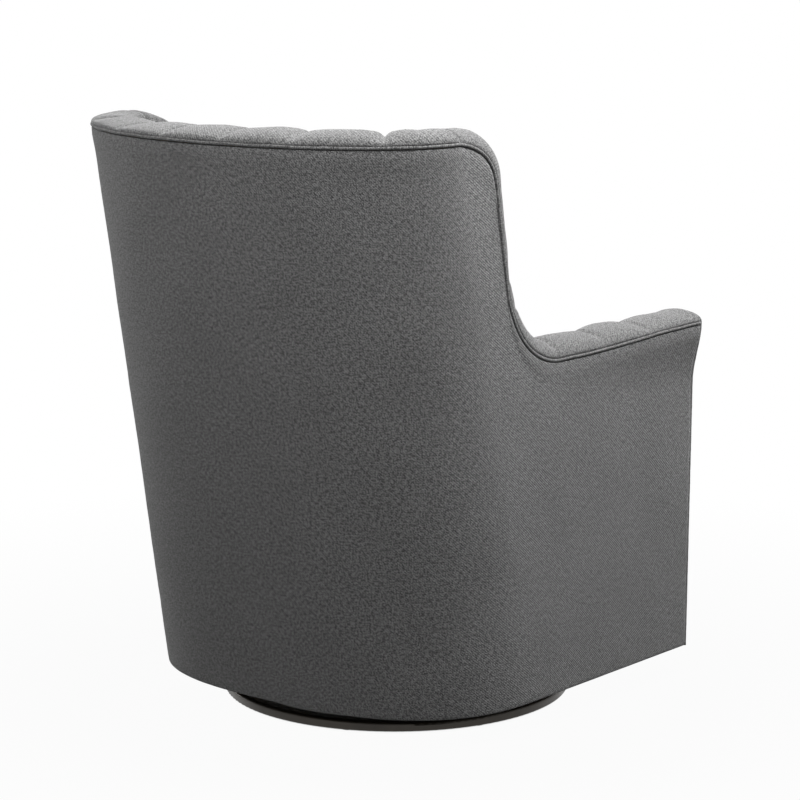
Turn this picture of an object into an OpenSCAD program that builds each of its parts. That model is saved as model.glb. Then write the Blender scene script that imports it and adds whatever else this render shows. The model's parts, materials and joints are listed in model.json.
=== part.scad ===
// Swivel glider armchair with a tufted barrel back.
// The row frame stands on the floor, with +Z up and the sitter facing -Y. Everything is drawn about
// the swivel axis first, and each node is then moved by axis_y so that the origin is the middle of
// the chair's footprint.

/* [Shell] */
// Height of the shell's lower edge above the floor
shell_foot_z = 47; // [42:1:60]
// Half width of the shell at its lower edge
foot_half_w = 345; // [335:1:360]
// Half width of the shell at the top of the back
top_half_w = 356; // [350:1:370]
// Swivel axis forward to the front of the upholstered walls
front_reach = 352; // [340:1:365]
// Swivel axis back to the rear of the shell at its lower edge
foot_rear = 335; // [325:1:350]
// Swivel axis back to the rear of the shell at the top
top_rear = 489; // [475:1:505]
// Swivel axis back to where the side starts to turn, at the lower edge
foot_knee = 62; // [50:1:75]
// Swivel axis back to where the side starts to turn, at the top
top_knee = 282; // [270:1:295]
// Thickness of the outside fabric with its liner
cover_t = 3; // [2:0.5:4]

/* [Arms and wings] */
// Height of the arm's welt at the back of the arm
arm_welt_z = 593; // [575:1:612]
// How much the arm's welt rises towards the front
arm_front_rise = 12; // [5:1:20]
// Outward flare of the arm at its front top corner
arm_flare = 15; // [5:1:25]
// Height over which the arm flares
flare_h = 100; // [70:5:130]
// Swivel axis back to the rear end of the straight arm top
arm_back_y = 30; // [20:1:40]
// Height of the neck between the arm and the wing
neck_rise = 112; // [95:1:130]
// Length of the neck, front to back
neck_run = 127; // [118:1:138]
// How far the wing's front edge leans back over its height
wing_lean = 33; // [25:1:42]
// Height of the rounded corner at the top of the wing
crown_drop = 73; // [60:1:85]
// Height of the welt along the top of the back
back_welt_z = 953; // [925:1:980]
// Height of the padded roll above the welt along the back
roll_h = 18; // [13:1:26]
// Height of the padded roll above the welt at the back of the arm
arm_roll_h = 30; // [24:1:36]
// How much lower the roll is at the front of the arm
arm_roll_drop = 15; // [8:1:18]

/* [Inside] */
// Height of the seat deck's top above the timbers that lie on the glide
deck_rise = 65; // [60:1:75]
// Room behind the arm pads at the seat deck, as far in as the posts reach
arm_room = 20; // [14:1:26]
// Room behind the pads of the wings
wing_room = 8; // [6:1:12]
// Swivel axis back to the inside back at the seat deck
seat_rear = 165; // [155:1:180]
// Thickness of the upholstered back at its top
crown_w = 114; // [104:1:124]
// Thickness of the arm pads
arm_pad_t = 26; // [20:1:30]
// Thickness of the inside back pad
back_pad_t = 44; // [36:1:50]
// Spacing of the tuft buttons along a row
tuft_pitch = 120; // [110:1:130]
// Spacing of the rows of buttons on the back
back_row_pitch = 75; // [68:1:80]
// Top row of buttons on the back below the welt
back_row_drop = 91; // [80:1:102]
// Spacing of the rows of buttons on the arms
arm_row_pitch = 65; // [58:1:70]
// Top row of buttons on the arms below the welt
arm_row_drop = 53; // [46:1:62]
// How deep the buttons pull the pad in
dimple = 10; // [6:1:13]
// How far the pads crown between the buttons
crown = 6; // [3:1:8]

/* [Seat cushion] */
// How far the seat cushion reaches out past the front of the walls
cushion_overhang = 33; // [24:1:42]
// Thickness of the cushion at its welts
cushion_t = 112; // [100:1:125]
// Crown of the cushion above its top welt
cushion_crown = 34; // [20:1:40]
// Running gap between the cushion and the pads beside it
cushion_gap = 9; // [8:0.5:12]

/* [Swivel base] */
// Outer radius of the base ring
ring_r = 288; // [275:1:300]
// Radial width of the base ring
ring_w = 30; // [26:1:34]
// Height of the base ring's tube
ring_h = 16.5; // [14:0.5:18]
// Height of the floor pads under the ring
pad_h = 1.5; // [1:0.5:3]
// Number of floor pads
pad_count = 8; // [6:1:12]
// Radius of the ball race
race_r = 60; // [55:1:65]
// Radius of the bearing balls
ball_r = 4; // [3:0.5:4]
// Number of bearing balls
ball_count = 16; // [12:1:20]
// Radius of the king pin
king_r = 10; // [8:0.5:11]

/* [Glide linkage] */
// Length of a hanging link between its pivots
link_l = 100; // [90:1:104]
// Swivel axis to each link's pivot, front and back
link_y = 115; // [110:1:120]
// Height of the upper pivots
upper_pivot_z = 178; // [174:1:180]
// Half width of a link's strap
link_half_w = 13; // [11:0.5:14]
// Thickness of a link's strap
link_t = 4; // [3:0.5:5]
// Radius of the pivot pins
pin_r = 5; // [4:0.5:6]
// Outer radius of the link bearings
bearing_r = 12; // [11:0.5:12.5]
// Swing of the links each way, in degrees
glide_swing = 24; // [18:1:26]

/* [Hidden] */
$fn = 48;
cut = 1;            // overrun of every cut
touch = 0.3;        // gap between soft pieces and what they rest on
run = 0.05;         // radial running clearance of the pins and the bush
near = 0.01;        // short step for slopes

// The origin is the middle of the footprint, so the swivel axis lies forward of it.
cushion_front = front_reach + cushion_overhang;
axis_y = -(top_rear - cushion_front) / 2;

// Shell outline
foot_square = 2.65;
top_square = 2.0;
inner_square = 2.6;
flare_end_share = 0.7;
arm_rise_share = 0.95;
neck_pull_shares = [0.72, 0.10];
crown_pull_shares = [0.08, 0.84];
foot_u_shares = [0, 0.68, 0.90, 0.96, 1];      // outer foot of the arm, neck, wing and crown
inner_foot_shares = [0, 0, 0.45, 0.75, 1];     // inner foot of the same stretches
stretch_steps = [0, 4, 3, 3];
corner_steps = 2;
corner_p_share = 0.93;
cover_steps = 6;
roll_steps = 4;
roll_edge = 3;        // thickness of the roll where it meets the welt
pleat_share = 0.16;   // how far a pleat draws the roll down

// Welts and panels
welt_r = 3;
welt_seat = 3.5;      // from the welt's centre line to the edges on each side of it
welt_inset = 2.5;     // from the outside face to the welt's centre line
welt_sides = 6;
panel_t = 9;
panel_inset = 2 * welt_r + touch;

// Buttons
back_rows = 6;
button_r = 9;
button_h = 3;
back_button_lift = 6.1;   // from the bottom of a dimple to the button's underside
corner_ease = 1;          // more of that lift on the outermost buttons of the back
foot_ease = 0.6;          // less of it on the bottom row
arm_button_lift = 5.3;

// Timber frame
board_t = 22;
panel_board_t = 18;
frame_room = 4;        // from the outside cover to the timbers
frame_inset = cover_t + frame_room;
frame_lift = 13;
frame_foot_z = shell_foot_z + frame_lift;
bearer_lift = 7;       // from the hanger legs up to the bearers
bearer_h = 25;
bearer_w = 44;
side_out_x = min(foot_half_w, top_half_w) - frame_inset;
post_w = 30;
arm_rail_h = 30;
back_post_x = 120;
back_post_w = 40;
back_rail_h = 32;
rail_ease = 1.5;       // from the top rail to the pad in front of it
rail_start_share = 0.06;
sill_h = 50;

// Springs, webbing and deck
spring_room = 10;      // from the rails up to the deck
spring_count = 4;
spring_pitch = 120;
wire_r = 1.9;
wire_sides = 6;
spring_amp = 22;
spring_waves = 9;
spring_straight_share = 0.025;
wave_steps = 8;
clip_w = 14;
clip_l = 16;
clip_h = 6;
deck_h = 23;
web_w = 50;
web_t = 1.5;
web_count = 4;
dust_t = 1;

// Bearing, stand and hanger plates, from the floor up and from the axis out
race_land = 12;
race_rim = 15;
race_t = 7;
race_gap = 2.6;
race_slack = 0.2;
cage_t = 1;
spider_w = 44;
spider_t = 5;
bush_t = 3;
plate_t = 4;
plate_y = 96;
side_t = 3.5;
flange_w = 25;
side_x = 146;                       // inner face of a stand side plate
side_low_y = 55;
side_lip = 2;
side_shoulder = 78;                 // from the upper pivots down to the plate's shoulders
bearing_w = 7;
shoulder_t = 2;
head_t = 1.2;
head_rim = 3;
eye_rim = 5;
eye_r = bearing_r + eye_rim;
head_r = pin_r + head_rim;
leg_gap = 1.3;
leg_x = side_x + side_t + shoulder_t + bearing_w + head_t + leg_gap;   // inner face of a hanger leg
leg_half_w = 17;
leg_rise = 3;
ring_shoulder_r = 7;
ring_corner_r = 2.5;
rail_half_l = 198;
rail_t = 3.5;
rail_web_h = 40;
rail_flange_w = 32;
brace_inset = 12;
brace_h = 20;
bumper_r = 8;
bumper_down = 60;
screw_r = 3;
screw_head_r = 6;
screw_head_h = 3;
screw_l = 20;
bolt_r = 4;
bolt_head_r = 7;
bolt_head_h = 5;
bolt_place_share = 0.7;
screw_place_shares = [-0.9, -0.35, 0.35, 0.9];
nut_rim = 6;
nut_h = 9;
king_head_rim = 7;
king_head_h = 7.5;
king_end = 2;

// Sizes that follow from the stack
race_in_r = king_r + race_land;
race_out_r = race_r + race_rim;
bush_r = king_r + bush_t;
nut_r = king_r + nut_rim;
king_head_r = king_r + king_head_rim;
ring_top_z = pad_h + ring_h;
front_roll_h = arm_roll_h - arm_roll_drop;
spider_top_z = ring_top_z + spider_t;
ball_z = spider_top_z + race_t + race_gap / 2;
upper_race_z = ball_z + race_gap / 2;
plate_z = upper_race_z + race_t;
lower_pivot_z = upper_pivot_z - link_l;
side_high_y = link_y + eye_r;
side_top_z = upper_pivot_z + eye_r + side_lip;
leg_top_z = upper_pivot_z + eye_r + leg_rise;
brace_y = rail_half_l - brace_inset;
bearing_x = side_x + side_t + shoulder_t;
link_x = bearing_x + (bearing_w - link_t) / 2;
bearer_x = leg_x;
bearer_z = leg_top_z + bearer_lift;
deck_z = bearer_z + bearer_h + deck_rise;
rail_top_z = deck_z - deck_h - spring_room;
seat_half_w = side_out_x - post_w - arm_room - arm_pad_t;
head_half_w = side_out_x - panel_board_t - wing_room - arm_pad_t;
head_rear = top_rear - crown_w;
back_row_z = back_welt_z - back_row_drop;
arm_row_z = arm_welt_z - arm_row_drop;
front_gap_y = -front_reach - touch;
spring_top_z = deck_z - deck_h - touch - wire_r;
spring_end_z = rail_top_z + clip_h / 2;

// Plain numbers
function mix(a, b, t) = a + (b - a) * t;
function held(t, low = 0, high = 1) = min(high, max(low, t));
function smooth(t) = let (s = held(t)) s * s * (3 - 2 * s);
function bezier(a, b, c, t) = (1 - t) * (1 - t) * a + 2 * t * (1 - t) * b + t * t * c;
function unit(v) = v / norm(v);
function turned(list) = [for (i = [len(list) - 1:-1:0]) list[i]];
function dropped(list, n) = [for (i = [n:len(list) - 1]) list[i]];

// Outside and inside faces of the upholstered wall. u runs from 0 at the front of the arm to 1 at
// the knee, where the side starts to turn, and to 2 at the middle of the back.
function rise(z) = (z - shell_foot_z) / (back_welt_z - shell_foot_z);
function inside_rise(z) = max(0, (z - deck_z) / (back_welt_z - deck_z));
function knee(z) = mix(foot_knee, top_knee, rise(z));
function side_u(y, z) = (y + front_reach) / (knee(z) + front_reach);
function side_y(u, z) = mix(-front_reach, knee(z), u);
function plan(u, half_w, knee_y, rear_y, square) = u <= 1
    ? [half_w, mix(-front_reach, knee_y, u)]
    : let (a = (u - 1) * 90, k = pow(pow(abs(cos(a)), square) + pow(sin(a), square), -1 / square))
        [half_w * cos(a) * k, knee_y + (rear_y - knee_y) * sin(a) * k];
function flare(u, z) = arm_flare * held(1 - u / flare_end_share)
    * smooth((z - arm_z(-front_reach) + flare_h) / flare_h);
function outside(side, u, z, inset = 0) = let (
        q = plan(u, mix(foot_half_w, top_half_w, rise(z)) - inset, knee(z),
            mix(foot_rear, top_rear, rise(z)) - inset, mix(foot_square, top_square, rise(z)))
    ) [side * (q[0] + flare(u, z)), q[1], z];
function inside_rear(z) = mix(seat_rear, head_rear, inside_rise(z));
function inside(side, u, z, out = 0) = let (
        q = plan(u, mix(seat_half_w, head_half_w, inside_rise(z)) + out, knee(z),
            inside_rear(z) + out, inner_square)
    ) [side * (q[0] + flare(u, z) / 2), q[1], z];
function face_normal(side, u, z) = let (
        along = inside(side, u + near, z) - inside(side, u - near, z),
        up = inside(side, u, z + touch) - inside(side, u, z - touch)
    ) -side * unit(cross(along, up));
function level(v) = unit([v[0], v[1], 0]);

// The welt line, seen from the side as [y, z]. A stretch's number is 0 for the arm, 1 for the neck,
// 2 for the wing and 3 for the crown.
function front_share(y) = smooth((-y / front_reach - 1 + arm_rise_share) / arm_rise_share);
function arm_z(y) = arm_welt_z + arm_front_rise * front_share(y);
arm_end = [arm_back_y, arm_welt_z];
wing_foot = arm_end + [neck_run, neck_rise];
wing_head = [wing_foot[0] + wing_lean, back_welt_z - crown_drop];
crown_end = [top_knee, back_welt_z];
neck_pull = arm_end + [neck_run * neck_pull_shares[0], neck_rise * neck_pull_shares[1]];
crown_pull = [
    mix(wing_head[0], crown_end[0], crown_pull_shares[0]),
    mix(wing_head[1], crown_end[1], crown_pull_shares[1])
];
function welt_yz(stretch, t) =
    stretch == 1 ? bezier(arm_end, neck_pull, wing_foot, t)
    : stretch == 2 ? mix(wing_foot, wing_head, t)
    : bezier(wing_head, crown_pull, crown_end, t);
function welt_normal(stretch, t) = let (
        d = unit(welt_yz(stretch, min(1, t + near)) - welt_yz(stretch, max(0, t - near)))
    ) [-d[1], d[0]];

// A station of the wall is [side, u at the outer foot, u at the welt, z at the welt, the edge's
// outward y and z, y at the inner foot].
function arm_station(side, y) = [side,
    foot_u_shares[1] * (y + front_reach) / (arm_back_y + front_reach),
    side_u(y, arm_z(y)), arm_z(y), 0, 1, y];
function side_station(side, stretch, t) = let (
        p = welt_yz(stretch, t),
        n = welt_normal(stretch, t),
        inner = mix(inner_foot_shares[stretch], inner_foot_shares[stretch + 1], t)
    ) [side, mix(foot_u_shares[stretch], foot_u_shares[stretch + 1], t), side_u(p[0], p[1]), p[1],
        n[0], n[1], mix(arm_back_y, knee(deck_z), inner)];
function back_station(side, u) = [side, u, u, back_welt_z, 0, 1, 0];
arm_quarters = floor((front_reach + arm_back_y) / tuft_pitch * 4 - 0.5);
function arm_stations(side) = concat([arm_station(side, -front_reach)],
    [for (k = [arm_quarters:-1:0]) arm_station(side, arm_back_y - tuft_pitch * k / 4)]);
function side_stations(side) = concat(arm_stations(side), [for (stretch = [1:3])
    for (i = [1:stretch_steps[stretch]]) side_station(side, stretch, i / stretch_steps[stretch])]);
back_p_end = top_half_w / tuft_pitch;
back_quarters = floor(back_p_end * corner_p_share * 4);
function p_to_u(p) = 1 + acos(held(p / back_p_end)) / 90;
function back_half(side) = concat(
    [for (i = [1:corner_steps - 1]) back_station(side, mix(1, p_to_u(back_quarters / 4), i / corner_steps))],
    [for (k = [back_quarters:-1:0]) back_station(side, p_to_u(k / 4))]);
function crown_station(side) = side_station(side, 3, 1);
function back_stations() = concat([crown_station(1)], back_half(1),
    dropped(turned(back_half(-1)), 1), [crown_station(-1)]);
function all_stations() = concat(side_stations(1), back_half(1),
    dropped(turned(back_half(-1)), 1), turned(side_stations(-1)));
// Where the wall's edge lies, as [u, z], at a distance beyond the welt's centre line
function edge_uz(s, away) = s[1] > 1 ? [s[2], s[3] + away]
    : let (z = s[3] + away * s[5]) [held(side_u(side_y(s[2], s[3]) + away * s[4], z)), z];
function edge_out(s) = [0, s[4], s[5]];

// Tufting. p counts button spacings along the wall and q counts pairs of rows up it. Buttons lie
// where p + q and p - q are both a half, and pleats join them and run straight on past the rows.
function puff(p, q) = sqrt(abs(cos(180 * (p + q)) * cos(180 * (p - q))));
function tufts(p, q, fade) = fade * (puff(p, q) * (crown + dimple) - dimple);
function back_p(side, u) = side * back_p_end * cos((u - 1) * 90);
function back_fade(p) = smooth((back_p_end - abs(p)) * 2.5);
function back_q(z) = held((z - back_row_z) / (2 * back_row_pitch), -(back_rows - 1) / 2, 0);
function arm_p(y) = (y - arm_back_y) / tuft_pitch + 0.5;
function arm_fade(y) = smooth((y + front_reach) / tuft_pitch * 1.2)
    * smooth(1 - (y - arm_back_y) / tuft_pitch * 2);
function arm_q(z) = held((z - arm_row_z) / (2 * arm_row_pitch), -0.5, 0);
function relief(side, u, z) = u > 1
    ? let (p = back_p(side, u)) tufts(p, back_q(z), back_fade(p))
    : let (y = side_y(u, z)) tufts(arm_p(y), arm_q(z), arm_fade(y));
function roll_share(s) = s[1] > 1
    ? let (p = back_p(1, s[2])) 1 - pleat_share * back_fade(p) * (1 - abs(cos(180 * p)))
    : let (y = side_y(s[2], s[3])) 1 - pleat_share * arm_fade(y) * (1 - abs(cos(180 * arm_p(y))));
function roll_height(s) = s[1] > 1 ? roll_h
    : mix(arm_roll_h, roll_h, held((s[3] - arm_welt_z) / (back_welt_z - arm_welt_z)))
        - arm_roll_drop * front_share(side_y(s[2], s[3]));
function pad_depth(u) = mix(arm_pad_t, back_pad_t, smooth((u - 1) * 2.5));

// A pad's section at a station runs from the welt over the roll and down the inside face.
row_halves = 2 * back_rows + 1;
function back_levels(top_z) = concat([mix(top_z, back_row_z, 0.5), back_row_z],
    [for (k = [1:row_halves]) back_row_z - back_row_pitch * k / 2], [deck_z + touch]);
function arm_levels(top_z) = let (low_z = arm_row_z - arm_row_pitch) concat(
    [for (k = [1:4]) mix(top_z, arm_row_z, k / 4)],
    [mix(arm_row_z, low_z, 0.5), low_z, mix(low_z, deck_z, 0.5), deck_z + touch]);
function face_u(s, top, z) = s[1] > 1 ? s[2]
    : let (t = (top[1] - z) / (top[1] - deck_z)) held(side_u(mix(side_y(top[0], top[1]), s[6], t), z));
function pad_skin(s, levels) = let (
        top = edge_uz(s, welt_seat),
        outer = outside(s[0], top[0], top[1]),
        inner = inside(s[0], top[0], top[1]),
        height = roll_height(s) * roll_share(s) - roll_edge
    ) concat(
        [for (k = [0:roll_steps]) let (a = 180 * k / roll_steps)
            mix(outer, inner, (1 - cos(a)) / 2) + edge_out(s) * (roll_edge + height * sin(a))],
        [for (z = levels) let (u = face_u(s, top, z))
            inside(s[0], u, z) + level(face_normal(s[0], u, z)) * relief(s[0], u, z)]
    );
function pad_back(s, levels) = let (
        top = edge_uz(s, welt_seat),
        outer = outside(s[0], top[0], top[1]),
        inner = inside(s[0], top[0], top[1], pad_depth(top[0]))
    ) concat(
        [for (k = [0:roll_steps]) mix(outer, inner, (1 - cos(180 * k / roll_steps)) / 2)],
        [for (z = levels) let (u = face_u(s, top, z)) inside(s[0], u, z, pad_depth(u))]
    );

// Solids from lists of points
function quad(a, b, c, d) = [[a, c, b], [a, d, c]];
// skin and back are grids of points, [station][step], whose stations cross steps turns outwards.
module sheet_solid(skin, back) {
    ns = len(skin);
    nk = len(skin[0]);
    under = ns * nk;
    last_s = (ns - 1) * nk;
    last_k = nk - 1;
    faces = concat(
        [for (s = [0:ns - 2]) for (k = [0:nk - 2])
            each quad(s * nk + k, (s + 1) * nk + k, (s + 1) * nk + k + 1, s * nk + k + 1)],
        [for (s = [0:ns - 2]) for (k = [0:nk - 2]) each quad(under + s * nk + k,
            under + s * nk + k + 1, under + (s + 1) * nk + k + 1, under + (s + 1) * nk + k)],
        [for (s = [0:ns - 2])
            each quad(s * nk, under + s * nk, under + (s + 1) * nk, (s + 1) * nk)],
        [for (s = [0:ns - 2]) each quad(s * nk + last_k, (s + 1) * nk + last_k,
            under + (s + 1) * nk + last_k, under + s * nk + last_k)],
        [for (k = [0:nk - 2]) each quad(k, k + 1, under + k + 1, under + k)],
        [for (k = [0:nk - 2]) each quad(last_s + k, under + last_s + k,
            under + last_s + k + 1, last_s + k + 1)]
    );
    polyhedron(concat([for (s = skin) each s], [for (s = back) each s]), faces, convexity = 6);
}
// rings is a list of equal closed rings, each turning left about the way the tube goes.
module tube_solid(rings, closed = false) {
    nr = len(rings);
    ns = len(rings[0]);
    last = closed ? nr - 1 : nr - 2;
    end = (nr - 1) * ns;
    faces = concat(
        [for (r = [0:last]) for (k = [0:ns - 1]) let (n = (r + 1) % nr, j = (k + 1) % ns)
            each quad(r * ns + k, r * ns + j, n * ns + j, n * ns + k)],
        closed ? [] : [for (k = [1:ns - 2]) [0, k, k + 1]],
        closed ? [] : [for (k = [1:ns - 2]) [end, end + k + 1, end + k]]
    );
    polyhedron([for (r = rings) each r], faces, convexity = 6);
}
function ring_about(centre, way, x_way, r, sides) = let (
        across = unit(x_way - way * (x_way * way)),
        up = cross(way, across)
    ) [for (k = [0:sides - 1]) centre + r * (cos(360 * k / sides) * across + sin(360 * k / sides) * up)];
// A round bead along points, with one direction across it at each point
module bead(points, across, r, sides, closed = false) {
    n = len(points);
    function at(i) = points[closed ? (i + n) % n : min(n - 1, max(0, i))];
    tube_solid([for (i = [0:n - 1])
        ring_about(points[i], unit(at(i + 1) - at(i - 1)), across[i], r, sides)], closed);
}

// Colours
module steel() color([0.42, 0.43, 0.45]) children();
module bright_steel() color([0.72, 0.73, 0.75]) children();
module dark_bronze() color([0.16, 0.14, 0.12]) children();
module nylon() color([0.12, 0.12, 0.12]) children();
module timber() color([0.76, 0.62, 0.42]) children();
module grey_cloth() color([0.36, 0.36, 0.37]) children();
module grey_piping() color([0.30, 0.30, 0.31]) children();
module black_cloth() color([0.08, 0.08, 0.08]) children();
module at_axis() translate([0, axis_y, 0]) children();
module both_sides() {
    children();
    mirror([1, 0, 0]) children();
}

// Swivel base
module floor_pads() {
    nylon() at_axis() for (i = [0:pad_count - 1]) rotate([0, 0, 360 * (i + 0.5) / pad_count])
        translate([ring_r - ring_w / 2, 0, 0]) cylinder(r = ring_w / 3, h = pad_h);
}
module base_ring() {
    inner_r = ring_r - ring_w;
    dark_bronze() at_axis() translate([0, 0, pad_h]) rotate_extrude($fn = 96) {
        for (r = [inner_r + ring_shoulder_r, ring_r - ring_shoulder_r])
            translate([r, ring_h - ring_shoulder_r]) circle(r = ring_shoulder_r);
        for (r = [inner_r + ring_corner_r, ring_r - ring_corner_r])
            translate([r, ring_corner_r]) circle(r = ring_corner_r);
        translate([inner_r + ring_shoulder_r, 0]) square([ring_w - 2 * ring_shoulder_r, ring_h]);
        translate([inner_r + ring_corner_r, 0]) square([ring_w - 2 * ring_corner_r, ring_h / 2]);
        translate([inner_r, ring_corner_r])
            square([ring_w, ring_h - ring_shoulder_r - ring_corner_r]);
    }
}
module base_spider() {
    reach = ring_r - ring_w / 2;
    dark_bronze() at_axis() translate([0, 0, ring_top_z]) difference() {
        union() {
            cylinder(r = race_out_r + spider_t, h = spider_t);
            for (a = [45, 135]) rotate([0, 0, a])
                translate([-reach, -spider_w / 2, 0]) cube([2 * reach, spider_w, spider_t]);
        }
        translate([0, 0, -cut]) cylinder(r = king_r + run, h = spider_t + 2 * cut);
    }
}
module race_profile(low_z) {
    difference() {
        translate([race_in_r, low_z]) square([race_out_r - race_in_r, race_t]);
        translate([race_r, ball_z]) circle(r = ball_r + race_slack);
    }
}
module lower_race() {
    bright_steel() at_axis() rotate_extrude($fn = 96) race_profile(spider_top_z);
}
module upper_race() {
    bright_steel() at_axis() rotate_extrude($fn = 96) race_profile(upper_race_z);
}
module king_pin() {
    top_z = plate_z + plate_t + nut_h + king_end;
    bright_steel() at_axis() {
        translate([0, 0, ring_top_z - king_head_h]) cylinder(r = king_head_r, h = king_head_h, $fn = 6);
        translate([0, 0, ring_top_z]) cylinder(r = king_r, h = top_z - ring_top_z);
    }
}
module king_nut() {
    bright_steel() at_axis() translate([0, 0, plate_z + plate_t + touch]) difference() {
        cylinder(r = nut_r, h = nut_h, $fn = 6);
        translate([0, 0, -cut]) cylinder(r = king_r + run, h = nut_h + 2 * cut);
    }
}

// Ball cage and balls, which roll round at half the swivel's speed
module round_the_race() {
    for (i = [0:ball_count - 1]) rotate([0, 0, 360 * i / ball_count])
        translate([race_r, 0, ball_z]) children();
}
module ball_cage() {
    half_w = 3.5 * ball_r;
    low_z = ball_z - cage_t / 2;
    steel() at_axis() difference() {
        translate([0, 0, low_z]) cylinder(r = race_r + half_w, h = cage_t);
        translate([0, 0, low_z - cut]) cylinder(r = race_r - half_w, h = cage_t + 2 * cut);
        round_the_race() cylinder(r = ball_r + race_slack, h = cage_t + 2 * cut, center = true);
    }
}
module race_balls() {
    bright_steel() at_axis() round_the_race() sphere(r = ball_r);
}

// Turning stand that carries the links
module stand_bolt_places() {
    for (x = [-1, 1]) for (y = [-1, 1])
        translate([x, y, 0] * race_r * bolt_place_share) children();
}
module pivot_bush() {
    nylon() at_axis() translate([0, 0, plate_z]) difference() {
        cylinder(r = bush_r, h = plate_t);
        translate([0, 0, -cut]) cylinder(r = king_r + run, h = plate_t + 2 * cut);
    }
}
module stand_plate() {
    steel() at_axis() translate([0, 0, plate_z]) difference() {
        translate([-side_x, -plate_y, 0]) cube([2 * side_x, 2 * plate_y, plate_t]);
        translate([0, 0, -cut]) cylinder(r = bush_r, h = plate_t + 2 * cut);
        stand_bolt_places() translate([0, 0, -cut]) cylinder(r = bolt_r, h = plate_t + 2 * cut);
    }
}
module stand_bolts() {
    bright_steel() at_axis() translate([0, 0, plate_z]) stand_bolt_places() {
        translate([0, 0, plate_t]) cylinder(r = bolt_head_r, h = bolt_head_h, $fn = 6);
        cylinder(r = bolt_r, h = plate_t);
    }
}
module stand_side() {
    shoulder_z = upper_pivot_z - side_shoulder;
    difference() {
        union() {
            translate([side_x, 0, 0]) rotate([90, 0, 90]) linear_extrude(side_t) polygon([
                [-side_low_y, plate_z], [side_low_y, plate_z], [side_low_y, shoulder_z],
                [side_high_y, upper_pivot_z - eye_r], [side_high_y, side_top_z],
                [-side_high_y, side_top_z], [-side_high_y, upper_pivot_z - eye_r],
                [-side_low_y, shoulder_z]
            ]);
            translate([side_x - flange_w, -side_low_y, plate_z + plate_t])
                cube([flange_w, 2 * side_low_y, side_t]);
        }
        for (y = [-link_y, link_y]) translate([side_x - cut, y, upper_pivot_z])
            rotate([0, 90, 0]) cylinder(r = pin_r, h = side_t + 2 * cut);
    }
}
module stand_side_left() steel() at_axis() stand_side();
module stand_side_right() steel() at_axis() mirror([1, 0, 0]) stand_side();
module upper_pivot_pins() {
    bright_steel() at_axis() both_sides() for (y = [-link_y, link_y])
        translate([0, y, upper_pivot_z]) rotate([0, 90, 0]) {
            translate([0, 0, side_x - 2 * head_t]) cylinder(r = head_r, h = 2 * head_t);
            translate([0, 0, side_x]) cylinder(r = pin_r, h = bearing_x + bearing_w + head_t - side_x);
            translate([0, 0, side_x + side_t]) cylinder(r = head_r, h = shoulder_t - run);
            translate([0, 0, bearing_x + bearing_w + run]) cylinder(r = head_r, h = head_t - run);
        }
}
module glide_bumpers() {
    stand_off = link_half_w + bumper_r + touch;
    y = link_y - bumper_down * sin(glide_swing) - stand_off * cos(glide_swing);
    z = upper_pivot_z - bumper_down * cos(glide_swing) + stand_off * sin(glide_swing);
    nylon() at_axis() both_sides() for (way = [-1, 1]) translate([side_x + side_t, way * y, z])
        rotate([0, 90, 0]) cylinder(r = bumper_r, h = link_x + link_t - side_x - side_t);
}

// Hanging links. Each hangs straight down from its upper pivot at rest.
module link_strap() {
    rotate([0, 90, 0]) difference() {
        union() {
            cylinder(r = eye_r, h = link_t);
            translate([link_l, 0, 0]) cylinder(r = eye_r, h = link_t);
            translate([0, -link_half_w, 0]) cube([link_l, 2 * link_half_w, link_t]);
        }
        for (x = [0, link_l]) translate([x, 0, -cut]) cylinder(r = bearing_r, h = link_t + 2 * cut);
    }
}
module on_side(side) mirror([side < 0 ? 1 : 0, 0, 0]) children();
module link_at(side, y) {
    steel() at_axis() on_side(side) translate([link_x, y, upper_pivot_z]) link_strap();
}
module bearings_at(side, y) {
    bright_steel() at_axis() on_side(side)
        for (z = [upper_pivot_z, lower_pivot_z]) translate([bearing_x, y, z]) rotate([0, 90, 0])
            difference() {
                cylinder(r = bearing_r, h = bearing_w);
                translate([0, 0, -cut]) cylinder(r = pin_r + run, h = bearing_w + 2 * cut);
            }
}
module link_front_left() link_at(1, -link_y);
module link_front_right() link_at(-1, -link_y);
module link_rear_left() link_at(1, link_y);
module link_rear_right() link_at(-1, link_y);
module bearings_front_left() bearings_at(1, -link_y);
module bearings_front_right() bearings_at(-1, -link_y);
module bearings_rear_left() bearings_at(1, link_y);
module bearings_rear_right() bearings_at(-1, link_y);

// Rails and hanger legs, which carry the seat on the links
module rail_screw_places() {
    for (share = screw_place_shares)
        translate([leg_x + rail_t + rail_flange_w / 2, share * rail_half_l, 0]) children();
}
module glide_rail() {
    web_x = leg_x + rail_t;
    difference() {
        union() {
            translate([web_x, -rail_half_l, bearer_z - rail_web_h])
                cube([rail_t, 2 * rail_half_l, rail_web_h]);
            translate([web_x, -rail_half_l, bearer_z - rail_t])
                cube([rail_flange_w, 2 * rail_half_l, rail_t]);
        }
        rail_screw_places() translate([0, 0, bearer_z - rail_t - cut])
            cylinder(r = screw_r, h = rail_t + 2 * cut);
    }
}
module glide_rail_left() steel() at_axis() glide_rail();
module glide_rail_right() steel() at_axis() mirror([1, 0, 0]) glide_rail();
module rail_screws() {
    bright_steel() at_axis() both_sides() rail_screw_places() {
        translate([0, 0, bearer_z - rail_t - screw_head_h]) cylinder(r = screw_head_r, h = screw_head_h);
        translate([0, 0, bearer_z - rail_t]) cylinder(r = screw_r, h = rail_t + screw_l);
    }
}
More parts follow.
